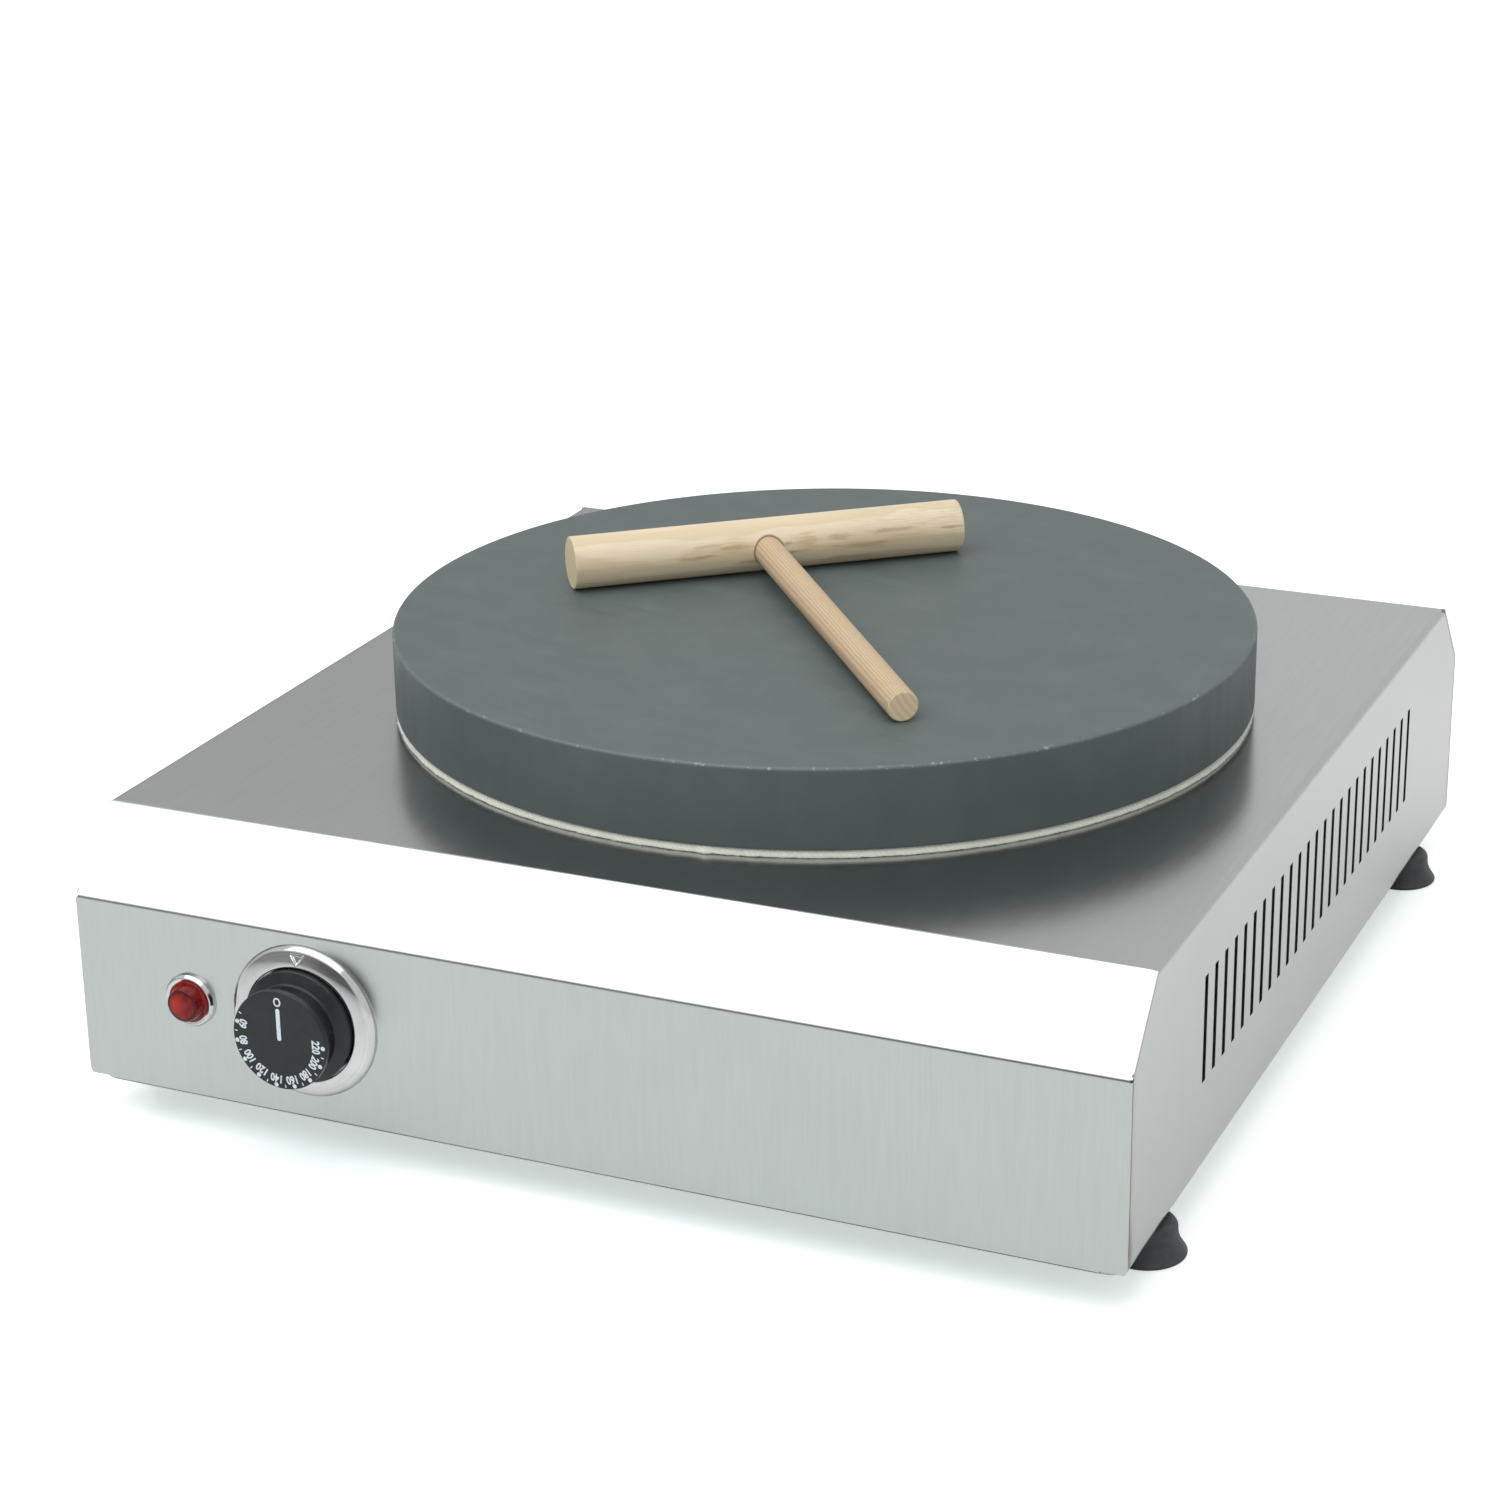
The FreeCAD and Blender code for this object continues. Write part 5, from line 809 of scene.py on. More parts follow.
def red_lens_finish():
    made, position = new_finish("red_lens", (0.62, 0.012, 0.010), 0.10, 0.0, {
        "Transmission Weight": 0.45, "IOR": 1.49, "Specular IOR Level": 0.12})
    y = split(position)[1]
    rings = effect("Turned rings", position, centre=LAMP_AXIS, across=(1.0, 0.0, 1.0), pitch=0.0011)
    away = length_of((position - tuple(LAMP_AXIS)) * (1.0, 0.0, 1.0))
    rim = near(away, 0.0058, 0.0010)
    front = spread(y, LAMP_LOW.y + 0.0030, LAMP_LOW.y + 0.0006)
    streaks = cloud(position * (700.0, 300.0, 380.0), 2.0, 0.5)
    colour = blend(spread(streaks, 0.3, 0.7), DEEP_RED, MIDDLE_RED)
    # Painted glow: an orange pool of light painted on the lens's front, low and to the left
    glow_place = (LAMP_AXIS.x - 0.0022, LAMP_AXIS.y, LAMP_AXIS.z + 0.0004)
    from_glow = length_of((position - glow_place) * (1.0, 0.0, 0.8))
    painted_glow = spread(from_glow, 0.0042, 0.0006) * front
    colour = blend(painted_glow * 0.8, colour, LENS_PAINTED_GLOW)
    # Painted shade: a dark rim round the lens's domed front
    colour = blend(rim * front * 0.85, colour, LENS_RIM_PAINTED_SHADE)
    # Painted light: a brighter, lit red painted on the flange at the lens's base
    painted_flange_light = spread(y, LAMP_HIGH.y - 0.0026, LAMP_HIGH.y - 0.0018)
    colour = blend(painted_flange_light, colour, LENS_FLANGE_PAINTED_LIGHT)
    return dress(made, colour, rings["Height"], 0.00003, 0.4)


def plain_metal_finish(name, colour, roughness, width, length):
    """Fastener and fitting metal with drawn lines, stains and hairline scratches."""
    made, position = new_finish(name, colour, roughness, 1.0)
    lines = effect("Brushed lines", position, line_width=width, line_length=length)
    smudges = smudged(position, 0.006)
    scratches = scratched(position, 0.004, 0.00012, 0.6)
    shade = blend(lines["Shade"], shades(colour, 0.82), shades(colour, 1.12))
    shade = blend(smudges * 0.5, shade, shades(colour, 0.62))
    return dress(made, shade, lines["Height"] - scratches * 0.6, 0.00002, 0.5, roughness + smudges * 0.16)


def mineral_wool_finish():
    made, position = new_finish("mineral_wool", (0.66, 0.60, 0.44), 0.95, 0.0, {
        "Sheen Weight": 0.3, "Specular IOR Level": 0.15})
    fibres = effect("Wood fibres", position, fibre_width=0.0009, waviness=0.01, ring_spacing=0.012)
    colour = blend(fibres["Fibres"], DARK_WOOL, PALE_WOOL)
    colour = blend(fibres["Pores"] * 0.5, colour, WOOL_SHADE)
    return dress(made, colour, fibres["Height"], 0.0006, 0.8)


def earth_wire_finish():
    made, position = new_finish("wire_green", (0.10, 0.30, 0.05), 0.42)
    skin = effect("Moulded skin", position, cell=0.0005)
    x, y, z = split(position)
    stripe = reckon("SINE", (x + y + z) * 900.0) > 0.35
    colour = blend(stripe, WIRE_GREEN, WIRE_YELLOW)
    colour = blend(skin["Shade"] * 0.2, colour, WIRE_SHADE)
    return dress(made, colour, skin["Height"], 0.00003, 0.4)


def marks_mask(along, height, marks, soften):
    """One over a list of oval marks on the roller's side, softened by a noise."""
    total = None
    for place, level, length, width, strength in marks:
        run = (along - place) / length
        rise = (height - level) / width
        away = reckon("SQRT", run * run + rise * rise) + soften
        mark = spread(away, 1.25, 0.2) * strength
        total = mark if total is None else larger(total, mark)
    return total


def faces_along(position, heading):
    """One on the end faces of a piece that lies along a heading."""
    direction = (math.cos(heading), math.sin(heading), 0.0)
    along = reckon("DOT_PRODUCT", face_normal(position.tree), direction)
    return spread(abs(along), 0.55, 0.85)


def roller_wood_finish():
    settings = bpy.context.scene.crepe_spreader
    made, position = new_finish("roller_wood", settings.roller_colour, 0.62, 0.0, {
        "Specular IOR Level": 0.35})
    position = turned_position(position, ROLLER_MIDDLE, settings.heading)
    x, y, z = split(position)
    wood = effect("Wood fibres", position, pith=(0.0, 0.016, -0.010), ring_spacing=0.0042,
                  fibre_width=settings.fibre_width, waviness=0.007)
    base = settings.roller_colour
    deep = [base[0] * 0.86, base[1] * 0.80, base[2] * 0.68]
    colour = blend(wood["Rings"] * 0.55, shades(base, 1.07), deep)
    colour = blend(wood["Fibres"] * 0.28, colour, shades(base, 0.82))

    # Streaks and patches of darker wood on the side that faces the front
    long_noise = cloud(position * (160.0, 1100.0, 1100.0), 3.0, 0.6)
    soften = (long_noise - 0.5) * 2.6
    facing = spread(y, 0.002, -0.004)
    patches = marks_mask(x, z, ROLLER_PATCHES, soften) * facing
    colour = blend(patches * 0.55, colour, WARM_WOOD)
    streaks = marks_mask(x, z, ROLLER_STREAKS, soften) * facing
    colour = blend(streaks * 0.75, colour, BROWN_WOOD)
    grey = spread(x, 0.018, 0.050) * spread(long_noise, 0.42, 0.68)
    colour = blend(grey * 0.35, colour, GREY_WOOD)

    # Darker rim round the hole that takes the handle
    hole = length_of(join(x - HANDLE_OFFSET, 0.0, z))
    dark_hole_rim = spread(hole, 0.0072, 0.0063) * facing
    colour = blend(dark_hole_rim * 0.8, colour, HOLE_RIM_WOOD)

    # Sawn ends show the rings and are a little darker
    end_grain = effect("Wood fibres", position, pith=(0.0, 0.016, -0.010), ring_spacing=0.0032,
                       fibre_width=0.0014, waviness=0.0015)
    end_colour = blend(end_grain["Rings"] * 0.5, PALE_ROLLER_END, DARK_ROLLER_END)
    colour = blend(faces_along(position, settings.heading), colour, end_colour)
    return dress(made, colour, wood["Height"], 0.00008, 0.5, spread(wood["Fibres"], 0.0, 1.0, 0.55, 0.70))


def handle_wood_finish():
    settings = bpy.context.scene.crepe_spreader
    made, position = new_finish("handle_wood", settings.handle_colour, 0.60, 0.0, {
        "Specular IOR Level": 0.35})
    position = turned_position(position, HANDLE_MIDDLE, settings.heading - math.pi / 2)
    wood = effect("Wood fibres", position, pith=(0.0, 0.055, 0.012), ring_spacing=settings.ring_spacing,
                  fibre_width=settings.fibre_width * 0.8, waviness=0.0008)
    base = settings.handle_colour
    deep = [base[0] * 0.78, base[1] * 0.66, base[2] * 0.56]
    colour = blend(wood["Rings"] * 0.65, shades(base, 1.10), deep)
    colour = blend(wood["Fibres"] * 0.25, colour, deep)
    colour = blend(wood["Pores"] * 0.30, colour, WOOD_PORES)
    end_grain = effect("Wood fibres", position, pith=(0.0, 0.020, 0.012), ring_spacing=0.0026,
                       fibre_width=0.0012, waviness=0.001)
    end_colour = blend(end_grain["Rings"] * 0.5, PALE_HANDLE_END, DARK_HANDLE_END)
    colour = blend(faces_along(position, settings.heading - math.pi / 2), colour, end_colour)
    return dress(made, colour, wood["Height"], 0.00006, 0.5)


def dial_ink_finish():
    settings = bpy.context.scene.crepe_dial
    made, position = new_finish("dial_ink", settings.ink, 0.5)
    worn = spread(cloud(position * 1800.0, 3.0, 0.6), 0.25, 0.55)
    return dress(made, blend(worn, shades(settings.ink, 0.72), settings.ink), worn, 0.00001, 0.4)


# Plain metals: colour, roughness, width and length of their drawn lines
METALS = {
    "zinc_steel": ((0.62, 0.62, 0.58), 0.30, 0.0004, 0.004),
    "element_tube": ((0.20, 0.18, 0.165), 0.42, 0.0006, 0.02),
    "mild_steel": ((0.46, 0.46, 0.45), 0.36, 0.0008, 0.04),
    "bright_sheet": ((0.74, 0.75, 0.76), 0.28, 0.0009, 0.05),
    "brass": ((0.72, 0.52, 0.22), 0.28, 0.0004, 0.004),
    "copper_tube": ((0.68, 0.36, 0.22), 0.30, 0.0004, 0.004),
}

# Mouldings: colour, roughness, size of the skin's cells, their height, specular level
MOULDINGS = {
    "dark_plastic": ((0.03, 0.032, 0.034), 0.45, 0.0006, 0.00003, 0.5),
    "pale_plastic": ((0.74, 0.73, 0.68), 0.45, 0.0008, 0.00003, 0.5),
    "black_knob": ((0.013, 0.018, 0.020), 0.34, 0.00045, 0.000018, 0.34),
    "gland_plastic": ((0.026, 0.027, 0.028), 0.50, 0.0007, 0.00005, 0.5),
    "seal_rubber": ((0.05, 0.05, 0.05), 0.62, 0.0005, 0.00004, 0.5),
    "wire_brown": ((0.20, 0.085, 0.035), 0.42, 0.0005, 0.00003, 0.5),
    "wire_blue": ((0.045, 0.15, 0.46), 0.42, 0.0005, 0.00003, 0.5),
}

SPECIAL_FINISHES = {
    "steel_panel": sheet_steel_finish,
    "cast_plate": cast_plate_finish,
    "gasket": sealing_cord_finish,
    "black_rubber": rubber_finish,
    "mineral_wool": mineral_wool_finish,
    "bright_trim": bright_trim_finish,
    "red_lens": red_lens_finish,
    "wire_green": earth_wire_finish,
    "roller_wood": roller_wood_finish,
    "handle_wood": handle_wood_finish,
}


def make_finish(slot):
    """The material of a slot."""
    if slot in METALS:
        return plain_metal_finish(slot, *METALS[slot])
    if slot in MOULDINGS:
        return moulded_finish(slot, *MOULDINGS[slot])
    return SPECIAL_FINISHES[slot]()


def nodes_of(slot):
    """The packed parts that carry this slot."""
    parts = [entry["node"] for entry in frame["record"]["subparts"] if entry["material_slot"] == slot]
    if not parts:
        raise RuntimeError("no packed part carries " + slot)
    return parts


def finish_parts(*slots):
    """Gives each packed part of these slots its finish."""
    for slot in slots:
        material = make_finish(slot)
        for part in nodes_of(slot):
            mesh = frame["nodes"][part].data
            mesh.materials.clear()
            mesh.materials.append(material)


def object_from(name, mesh_maker, material):
    """Makes a mesh object from a bmesh."""
    mesh = bpy.data.meshes.new(name)
    mesh_maker.to_mesh(mesh)
    mesh_maker.free()
    mesh.materials.append(material)
    made = bpy.data.objects.new(name, mesh)
    bpy.context.scene.collection.objects.link(made)
    return made


def add_hoop(work, around, ring_at, settings):
    """A closed tube round a circle, with smooth faces, from its ring of points at each angle."""
    rings = []
    for step in range(around):
        points = ring_at(settings, 2 * math.pi * step / around)
        rings.append([work.verts.new(point) for point in points])
    for ring, following in zip(rings, rings[1:] + rings[:1]):
        for index in range(len(ring)):
            after = (index + 1) % len(ring)
            work.faces.new((ring[index], following[index], following[after], ring[after]))
    for face in work.faces:
        face.smooth = True
    bmesh.ops.recalc_face_normals(work, faces=work.faces)


class FinishParts:
    """An operator that gives the packed parts of its slots their finishes."""
    slots = ()

    def execute(self, context):
        finish_parts(*self.slots)
        return {"FINISHED"}


class CREPE_OT_housing(FinishParts, bpy.types.Operator):
    """Gives the folded housing its brushed steel with tinted seams"""
    bl_idname = "crepe.housing"
    bl_label = "Steel housing"
    slots = ("steel_panel",)


class CREPE_OT_hotplate(FinishParts, bpy.types.Operator):
    """Gives the hotplate its seasoned surface, worn edge and chips"""
    bl_idname = "crepe.hotplate"
    bl_label = "Hotplate"
    slots = ("cast_plate",)


def cord_outline(settings):
    """The band's cross-section: distance outwards and height, from its inner foot to its inner top."""
    outer = CORD_HIGH.x
    inner = outer - settings.width
    low = CORD_LOW.z
    high = CORD_HIGH.z
    third = (high - low) / 3
    return [
        (inner, low),
        (outer - 0.0016, low),
        (outer + 0.0002, low + 0.00005),
        (outer + 0.0006, low + 0.0003),
        (outer + 0.0004, low + third),
        (outer, low + 2 * third - 0.0001),
        (outer - 0.0005, high - 0.0005),
        (outer - 0.0010, high - 0.0001),
        (outer - 0.0020, high),
        (inner, high),
    ]


def cord_ring(settings, angle):
    """The points of the ragged band's cross-section at an angle round the plate."""
    grains_round = 420.0
    grains_up = 900.0
    joint_width = 0.0022
    joint_height = 0.0007
    direction = Vector((math.cos(angle), math.sin(angle), 0.0))
    turn = (angle - settings.joint_angle + math.pi) % (2 * math.pi) - math.pi
    bulge = joint_height * math.exp(-(turn * CORD_HIGH.x / joint_width) ** 2)
    outline = cord_outline(settings)
    points = []
    for index, (reach, level) in enumerate(outline):
        outside = 1 < index < len(outline) - 2
        if outside:
            point = direction * reach * grains_round + Vector((0.0, 0.0, level * grains_up))
            coarse = noise.noise(point * 0.35)
            fine = noise.noise(point * 1.9 + Vector((7.3, 2.1, 5.5)))
            low_edge = 1.0 if index < 5 else 0.45
            reach += settings.ragged * low_edge * (0.45 * coarse + 0.75 * fine)
            level += settings.ragged * 0.35 * noise.noise(point * 1.4)
            reach += bulge
            level = min(max(level, CORD_LOW.z), CORD_HIGH.z)
        points.append(direction * reach + Vector((0.0, PLATE_AXIS.y, level)))
    return points


class CREPE_OT_sealing_cord(bpy.types.Operator):
    """Lays the ragged sealing cord between the hotplate and the housing"""
    bl_idname = "crepe.sealing_cord"
    bl_label = "Sealing cord"

    def execute(self, context):
        settings = context.scene.crepe_sealing_cord
        material = make_finish("gasket")
        work = bmesh.new()
        add_hoop(work, 1080, cord_ring, settings)
        cord = object_from("sealing_cord", work, material)
        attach(cord, "root")
        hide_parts("gasket_ring")
        return {"FINISHED"}


class CREPE_OT_feet(FinishParts, bpy.types.Operator):
    """Gives the four feet their moulded rubber"""
    bl_idname = "crepe.feet"
    bl_label = "Rubber feet"
    slots = ("black_rubber",)


def dial_matrix(angle, radius):
    """Lays the print's plane on the knob's face at an angle and a distance from its axis."""
    stand = Matrix.Rotation(math.pi / 2, 4, "X")
    turn = Matrix.Rotation(-angle, 4, "Y")
    outward = turn @ Matrix.Translation((0.0, 0.0, radius))
    place = Matrix.Translation((KNOB_AXIS.x, DIAL_FACE, KNOB_AXIS.z))
    return place @ outward @ stand


def join_loops(work, first, second):
    """Joins two loops of points by a strip of faces."""
    for index in range(len(first)):
        after = (index + 1) % len(first)
        work.faces.new((first[index], first[after], second[after], second[index]))


def add_prism(work, outline, matrix, thickness):
    """A flat printed shape from its outline in the print's plane."""
    lower = [work.verts.new(matrix @ Vector((x, y, -thickness / 2))) for x, y in outline]
    upper = [work.verts.new(matrix @ Vector((x, y, thickness))) for x, y in outline]
    work.faces.new(upper)
    work.faces.new(list(reversed(lower)))
    join_loops(work, lower, upper)


def rounded_bar(width, low, high):
    """Outline of an upright bar with round ends."""
    points = []
    radius = width / 2
    steps = 12
    for start, middle in ((0.0, high - radius), (math.pi, low + radius)):
        for step in range(steps + 1):
            angle = start + math.pi * step / steps
            points.append((radius * math.cos(angle), middle + radius * math.sin(angle)))
    return points


def circle_outline(radius):
    count = 28
    angles = [2 * math.pi * step / count for step in range(count)]
    return [(radius * math.cos(angle), radius * math.sin(angle)) for angle in angles]


def add_oval_ring(work, matrix, settings):
    """The zero mark: an oval ring."""
    count = 40
    loops = []
    for inset in (0.0, settings.zero_stroke):
        for level in (settings.ink_thickness, -settings.ink_thickness / 2):
            loop = []
            for step in range(count):
                angle = 2 * math.pi * step / count
                x = (settings.zero_width / 2 - inset) * math.cos(angle)
                y = (settings.zero_height / 2 - inset) * math.sin(angle)
                loop.append(work.verts.new(matrix @ Vector((x, y, level))))
            loops.append(loop)
    outer_top, outer_low, inner_top, inner_low = loops
    join_loops(work, outer_top, inner_top)
    join_loops(work, inner_top, inner_low)
    join_loops(work, inner_low, outer_low)
    join_loops(work, outer_low, outer_top)


def add_figures(work, text, matrix, settings):
    """Condensed bold figures as thin solid print."""
    curve = bpy.data.curves.new("figures", "FONT")
    curve.body = text
    curve.align_x = "CENTER"
    curve.align_y = "CENTER"
    curve.size = settings.figure_height / 0.70
    curve.offset = settings.figure_weight
    curve.extrude = settings.ink_thickness / 2
    curve.resolution_u = 4
    letter = bpy.data.objects.new("figures", curve)
    bpy.context.scene.collection.objects.link(letter)
    bpy.context.view_layer.update()
    mesh = bpy.data.meshes.new_from_object(letter.evaluated_get(bpy.context.evaluated_depsgraph_get()))
    squeeze = Matrix.Diagonal((settings.figure_squeeze, 1.0, 1.0, 1.0))
    middle = sum((vertex.co.y for vertex in mesh.vertices), 0.0) / len(mesh.vertices)
    lift = Matrix.Translation((0.0, -middle, settings.ink_thickness / 2))
    mesh.transform(matrix @ lift @ squeeze)
    work.from_mesh(mesh)
    bpy.data.objects.remove(letter)
    bpy.data.curves.remove(curve)
    bpy.data.meshes.remove(mesh)


class CREPE_OT_knob(bpy.types.Operator):
    """Finishes the thermostat knob and prints its dial"""
    bl_idname = "crepe.knob"
    bl_label = "Thermostat knob"

    def execute(self, context):
        finish_parts("black_knob")
        settings = context.scene.crepe_dial
        work = bmesh.new()
        thickness = settings.ink_thickness
        temperatures = range(settings.lowest, settings.highest + 1, settings.step)
        for index, temperature in enumerate(temperatures):
            angle = settings.first_angle + index * settings.step_angle
            add_figures(work, str(temperature), dial_matrix(angle, settings.figure_radius), settings)
            dot = circle_outline(settings.dot_radius)
            add_prism(work, dot, dial_matrix(angle, settings.dot_circle), thickness)
            tick = rounded_bar(settings.tick_width, -settings.tick_length / 2, settings.tick_length / 2)
            between = dial_matrix(angle - settings.step_angle / 2, settings.dot_circle)
            add_prism(work, tick, between, thickness)
        add_oval_ring(work, dial_matrix(0.0, settings.zero_radius), settings)
        bar = rounded_bar(settings.line_width, 0.0, settings.line_start)
        add_prism(work, bar, dial_matrix(0.0, 0.0), thickness)
        bmesh.ops.recalc_face_normals(work, faces=work.faces)
        dial = object_from("dial_print", work, dial_ink_finish())
        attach(dial, "knob")
        return {"FINISHED"}


def smooth_run(points, parts):
    """Points on a smooth line through the given ones."""
    run = []
    last = len(points) - 1
    for index in range(last):
        before = Vector(points[max(index - 1, 0)])
        start = Vector(points[index])
        end = Vector(points[index + 1])
        after = Vector(points[min(index + 2, last)])
        for step in range(parts):
            share = step / parts
            bend = (end - before) * share + (2 * before - 5 * start + 4 * end - after) * share ** 2
            bend += (3 * start - before - 3 * end + after) * share ** 3
            run.append(start + bend / 2)
    run.append(Vector(points[last]))
    return run


def pressed_in(settings, reach, sideways):
    """Depth of the pressed pointer at a distance from the knob's axis and to the pointer's side."""
    length = settings.pointer_root - settings.pointer_tip
    share = (reach - settings.pointer_tip) / length
    blunt = 0.0003
    half_width = blunt + (settings.pointer_width / 2 - blunt) * share
    from_tip = reach - settings.pointer_tip + 0.0004
    inside = min(half_width - abs(sideways), from_tip, settings.pointer_root - reach)
    share = min(max(inside / settings.pointer_slope, 0.0), 1.0)
    return settings.pointer_depth * share * share * (3 - 2 * share)


def bezel_ring(settings, angle):
    """The points of the bezel's profile at an angle clockwise from its top."""
    turn = (angle + math.pi) % (2 * math.pi) - math.pi
    points = []
    for inset, stand in smooth_run(BEZEL_PROFILE, 3):
        reach = BEZEL_RADIUS - inset
        if stand > POINTER_LEVEL and abs(turn) < POINTER_REACH:
            stand -= pressed_in(settings, reach, reach * turn)
        points.append((
            KNOB_AXIS.x + reach * math.sin(angle), BEZEL_HIGH.y - stand,
            KNOB_AXIS.z + reach * math.cos(angle)))
    return points


class CREPE_OT_trims(bpy.types.Operator):
    """Presses the knob's bezel with its pointer and polishes it and the lamp's bezel"""
    bl_idname = "crepe.trims"
    bl_label = "Bright trims"

    def execute(self, context):
        finish_parts("bright_trim")
        settings = context.scene.crepe_bezel
        work = bmesh.new()
        add_hoop(work, 720, bezel_ring, settings)
        material = frame["nodes"]["pilot_bezel"].data.materials[0]
        bezel = object_from("pressed_bezel", work, material)
        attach(bezel, "root")
        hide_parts("knob_bezel")
        return {"FINISHED"}


class CREPE_OT_lamp(FinishParts, bpy.types.Operator):
    """Gives the pilot lamp its red lens and dark body"""
    bl_idname = "crepe.lamp"
    bl_label = "Pilot lamp"
    slots = ("red_lens", "dark_plastic")


class CREPE_OT_gland(FinishParts, bpy.types.Operator):
    """Finishes the cable gland and its seal"""
    bl_idname = "crepe.gland"
    bl_label = "Cable gland"
    slots = ("gland_plastic", "seal_rubber")


class CREPE_OT_spreader(FinishParts, bpy.types.Operator):
    """Gives the batter spreader its two woods"""
    bl_idname = "crepe.spreader"
    bl_label = "Batter spreader"
    slots = ("roller_wood", "handle_wood")


class CREPE_OT_works(FinishParts, bpy.types.Operator):
    """Finishes the base cover, fasteners, heating parts, thermostat and terminals"""
    bl_idname = "crepe.works"
    bl_label = "Base and works"
    slots = ("mild_steel", "zinc_steel", "element_tube", "mineral_wool", "bright_sheet",
             "pale_plastic", "brass", "copper_tube")


class CREPE_OT_wiring(FinishParts, bpy.types.Operator):
    """Colours the internal wires"""
    bl_idname = "crepe.wiring"
    bl_label = "Internal wires"
    slots = ("wire_brown", "wire_blue", "wire_green")


def make_floor(settings):
    """A wide white floor that keeps the shadow under the object and a faint mirror image."""
    made, position = new_finish("studio_floor", settings.floor_colour, 0.16, 0.0, {
        "Specular IOR Level": 0.5})
    pale = settings.floor_colour
    x, y = split(position)[:2]
    # Painted shadow: the glow is lowered in a strip of floor before the front panel
    before_panel = spread(y, HOUSING_LOW.y + 0.030, HOUSING_LOW.y - 0.015)
    reach = length_of(join(x, y, 0.0))
    painted_shadow_strip = before_panel * spread(reach, 0.70, 0.42)
    glow = blend(painted_shadow_strip, settings.floor_glow, settings.shaded_glow)
    glow = blend(spread(reach, 0.9, 2.5), glow, FAR_FLOOR_GLOW)
    rays = outputs_of(add_node(made.node_tree, "ShaderNodeLightPath"))
    mirrored = rays["Is Glossy Ray"] * settings.mirror_glow
    feed_shader(made, {
        "Base Color": blend(cloud(position * 3.0, 2.0), shades(pale, 0.99), pale),
        "Emission Color": glow, "Emission Strength": larger(rays["Is Camera Ray"], mirrored)})
    work = bmesh.new()
    bmesh.ops.create_grid(work, x_segments=2, y_segments=2, size=settings.floor_size / 2)
    floor = object_from("studio_floor", work, made)


def make_world(settings):
    """White all round for the camera and reflections, a lower level for the light itself."""
    world = bpy.data.worlds.new("studio")
    bpy.context.scene.world = world
    world.use_nodes = True
    tree = world.node_tree
    background = tree.nodes["Background"]
    rays = outputs_of(add_node(tree, "ShaderNodeLightPath"))
    seen = larger(rays["Is Camera Ray"], rays["Is Transmission Ray"])
    x, y, z = split(outputs_of(add_node(tree, "ShaderNodeTexCoord"))["Generated"])

    # Dark low band in front, paler towards the left and open at the right
    front = spread(y, 0.05, -0.55) * spread(x, 0.40, 0.12)
    band = spread(z, -0.05, 0.04) * spread(z, 0.50, 0.36)
    dark = spread(x, -0.15, -0.52, settings.horizon_level, settings.horizon_level + 0.20)

    # Grey wall behind, darker towards the left and low down there
    behind = spread(y, 0.2, 0.6)
    left = spread(x, -0.20, -0.50)
    low = left * spread(z, 0.34, 0.28)
    wall = spread(left, 0.0, 1.0, 0.80, 0.66) - low * 0.22
    mirrored = spread(behind, 0.0, 1.0, 0.86, wall)
    mirrored = spread(front * band, 0.0, 1.0, mirrored, dark)
    not_glossy = 1.0 - rays["Is Glossy Ray"]
    level = rays["Is Glossy Ray"] * mirrored + not_glossy * settings.surround
    wire_up((1.0, 1.0, 1.0), background.inputs["Color"])
    wire_up(larger(level, seen), background.inputs["Strength"])


def make_key_light(settings):
    lamp = bpy.data.lights.new("soft_key", "AREA")
    lamp.shape = "SQUARE"
    lamp.size = settings.key_size
    lamp.energy = settings.key_power
    made = bpy.data.objects.new("soft_key", lamp)
    bpy.context.scene.collection.objects.link(made)
    made.location = settings.key_place
    aim = Vector((0.0, 0.0, TOP_LEVEL)) - made.location
    made.rotation_mode = "QUATERNION"
    made.rotation_quaternion = aim.to_track_quat("-Z", "Y")


def make_camera(settings):
    lens = bpy.data.cameras.new("camera")
    lens.sensor_fit = "HORIZONTAL"
    lens.sensor_width = 36.0
    lens.lens = settings.lens
    made = bpy.data.objects.new("camera", lens)
    bpy.context.scene.collection.objects.link(made)
    turn = Matrix.Rotation(-settings.camera_yaw, 4, "Z")
    tilt = Matrix.Rotation(math.pi / 2 + settings.camera_pitch, 4, "X")
    roll = Matrix.Rotation(settings.camera_roll, 4, "Z")
    made.matrix_world = Matrix.Translation(settings.camera_place) @ turn @ tilt @ roll
    bpy.context.scene.camera = made


class CREPE_OT_studio(bpy.types.Operator):
    """Makes the pale floor, the soft light and the camera"""
    bl_idname = "crepe.studio"
    bl_label = "Studio"

    def execute(self, context):
        settings = context.scene.crepe_studio
        context.scene.view_settings.view_transform = "Standard"
        make_camera(settings)
        make_world(settings)
        make_key_light(settings)
        make_floor(settings)
        return {"FINISHED"}


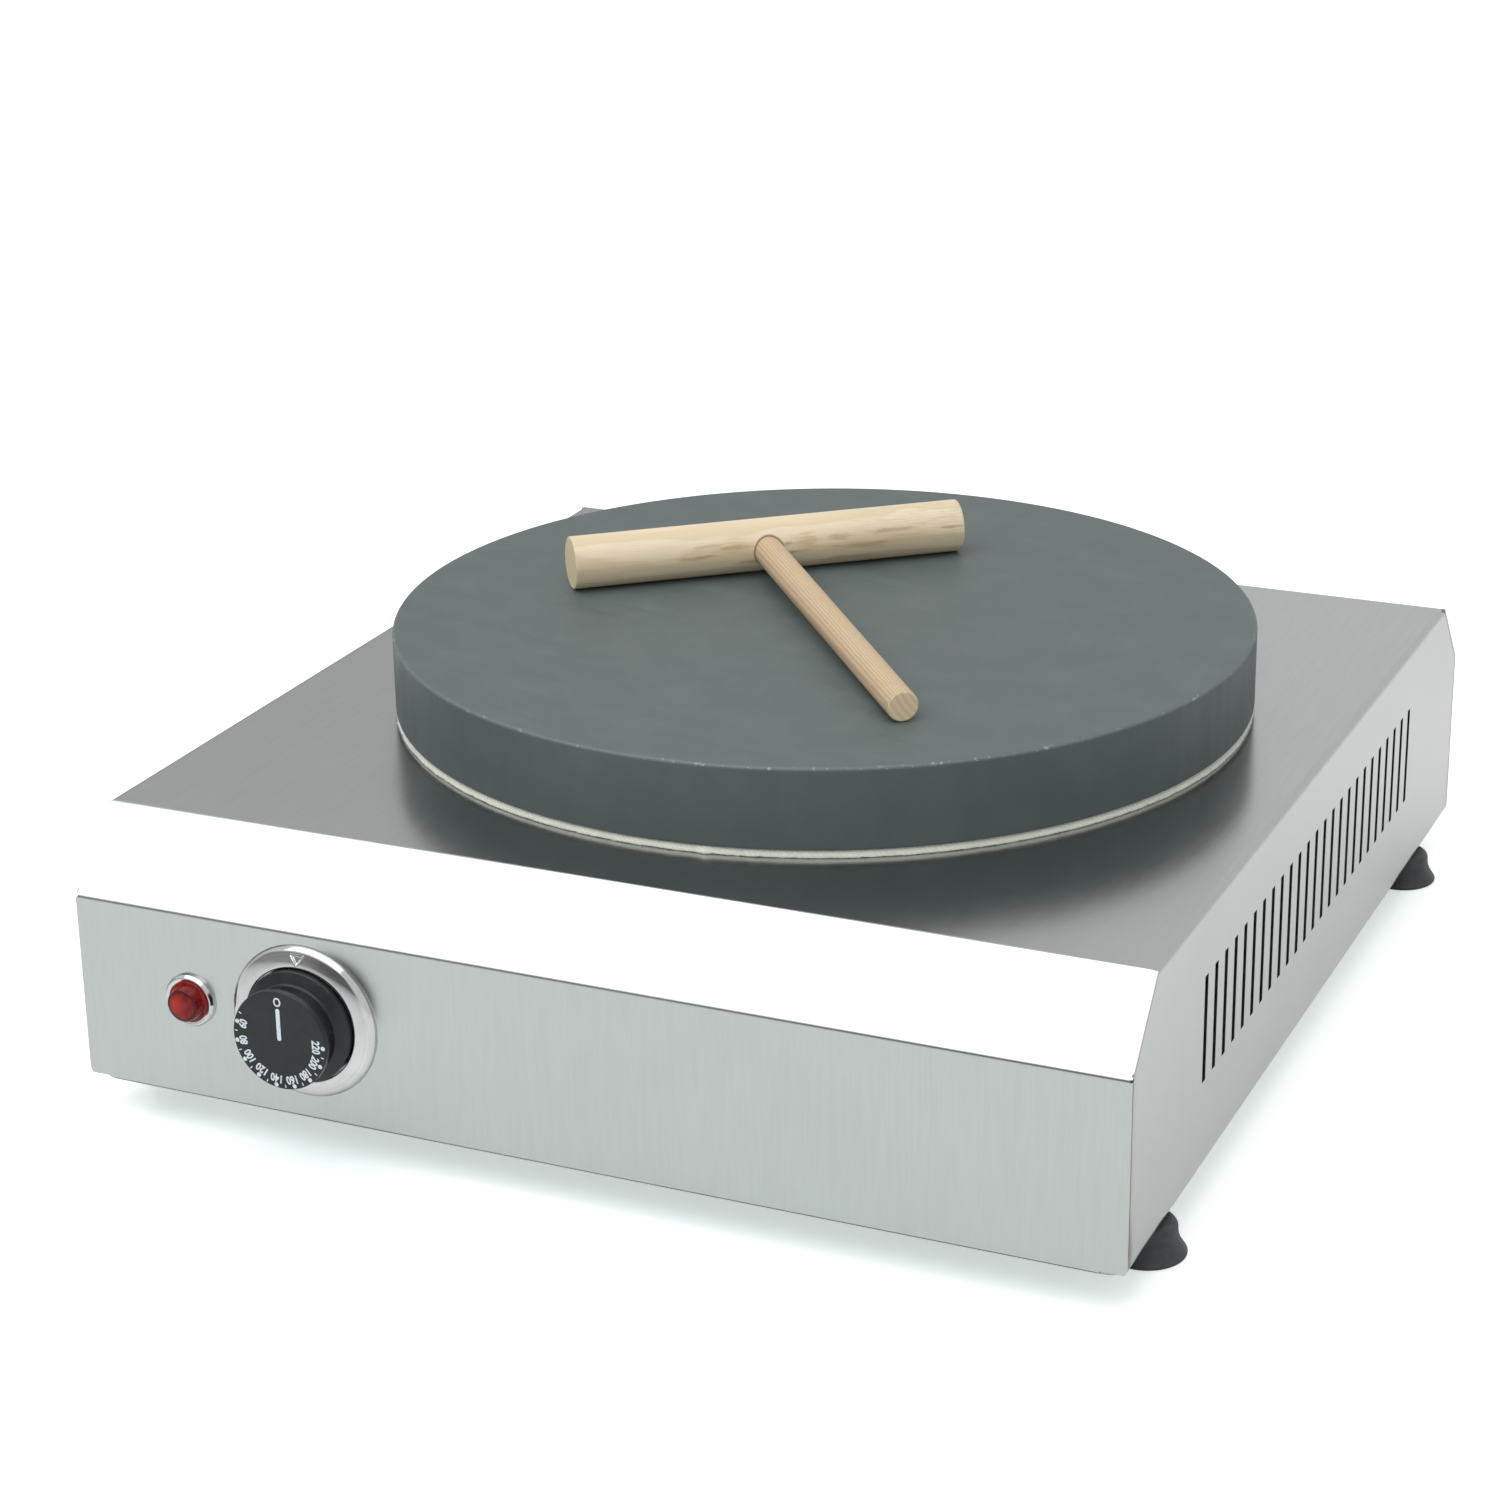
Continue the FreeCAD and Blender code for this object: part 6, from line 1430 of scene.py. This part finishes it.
OPERATORS = [
    CREPE_OT_studio,
    CREPE_OT_housing,
    CREPE_OT_hotplate,
    CREPE_OT_sealing_cord,
    CREPE_OT_feet,
    CREPE_OT_knob,
    CREPE_OT_trims,
    CREPE_OT_lamp,
    CREPE_OT_gland,
    CREPE_OT_spreader,
    CREPE_OT_works,
    CREPE_OT_wiring,
]

SETTINGS = {
    "crepe_sheet_steel": SheetSteelSettings,
    "crepe_hotplate": HotplateSettings,
    "crepe_sealing_cord": SealingCordSettings,
    "crepe_dial": DialSettings,
    "crepe_bezel": BezelSettings,
    "crepe_spreader": SpreaderSettings,
    "crepe_studio": StudioSettings,
}


class CREPE_PT_sidebar(bpy.types.Panel):
    """Lists the pieces of the crepe maker and their sizes and colours"""
    bl_idname = "CREPE_PT_sidebar"
    bl_label = "Electric crepe maker"
    bl_space_type = "VIEW_3D"
    bl_region_type = "UI"
    bl_category = "Crepe maker"

    def draw(self, context):
        for operator in OPERATORS:
            self.layout.operator(operator.bl_idname)
        for name, group in SETTINGS.items():
            column = self.layout.column(heading=group.__doc__)
            for label in group.__annotations__:
                column.prop(getattr(context.scene, name), label)


def register():
    for group in SETTINGS.values():
        bpy.utils.register_class(group)
    for operator in OPERATORS:
        bpy.utils.register_class(operator)
    bpy.utils.register_class(CREPE_PT_sidebar)
    for name, group in SETTINGS.items():
        setattr(bpy.types.Scene, name, bpy.props.PointerProperty(type=group))


def unregister():
    for name in SETTINGS:
        delattr(bpy.types.Scene, name)
    bpy.utils.unregister_class(CREPE_PT_sidebar)
    for operator in reversed(OPERATORS):
        bpy.utils.unregister_class(operator)
    for group in reversed(list(SETTINGS.values())):
        bpy.utils.unregister_class(group)


def main():
    register()
    bpy.ops.crepe.studio()
    bpy.ops.crepe.housing()
    bpy.ops.crepe.hotplate()
    bpy.ops.crepe.sealing_cord()
    bpy.ops.crepe.feet()
    bpy.ops.crepe.knob()
    bpy.ops.crepe.trims()
    bpy.ops.crepe.lamp()
    bpy.ops.crepe.gland()
    bpy.ops.crepe.spreader()
    bpy.ops.crepe.works()
    bpy.ops.crepe.wiring()


if __name__ == "__main__":
    main()
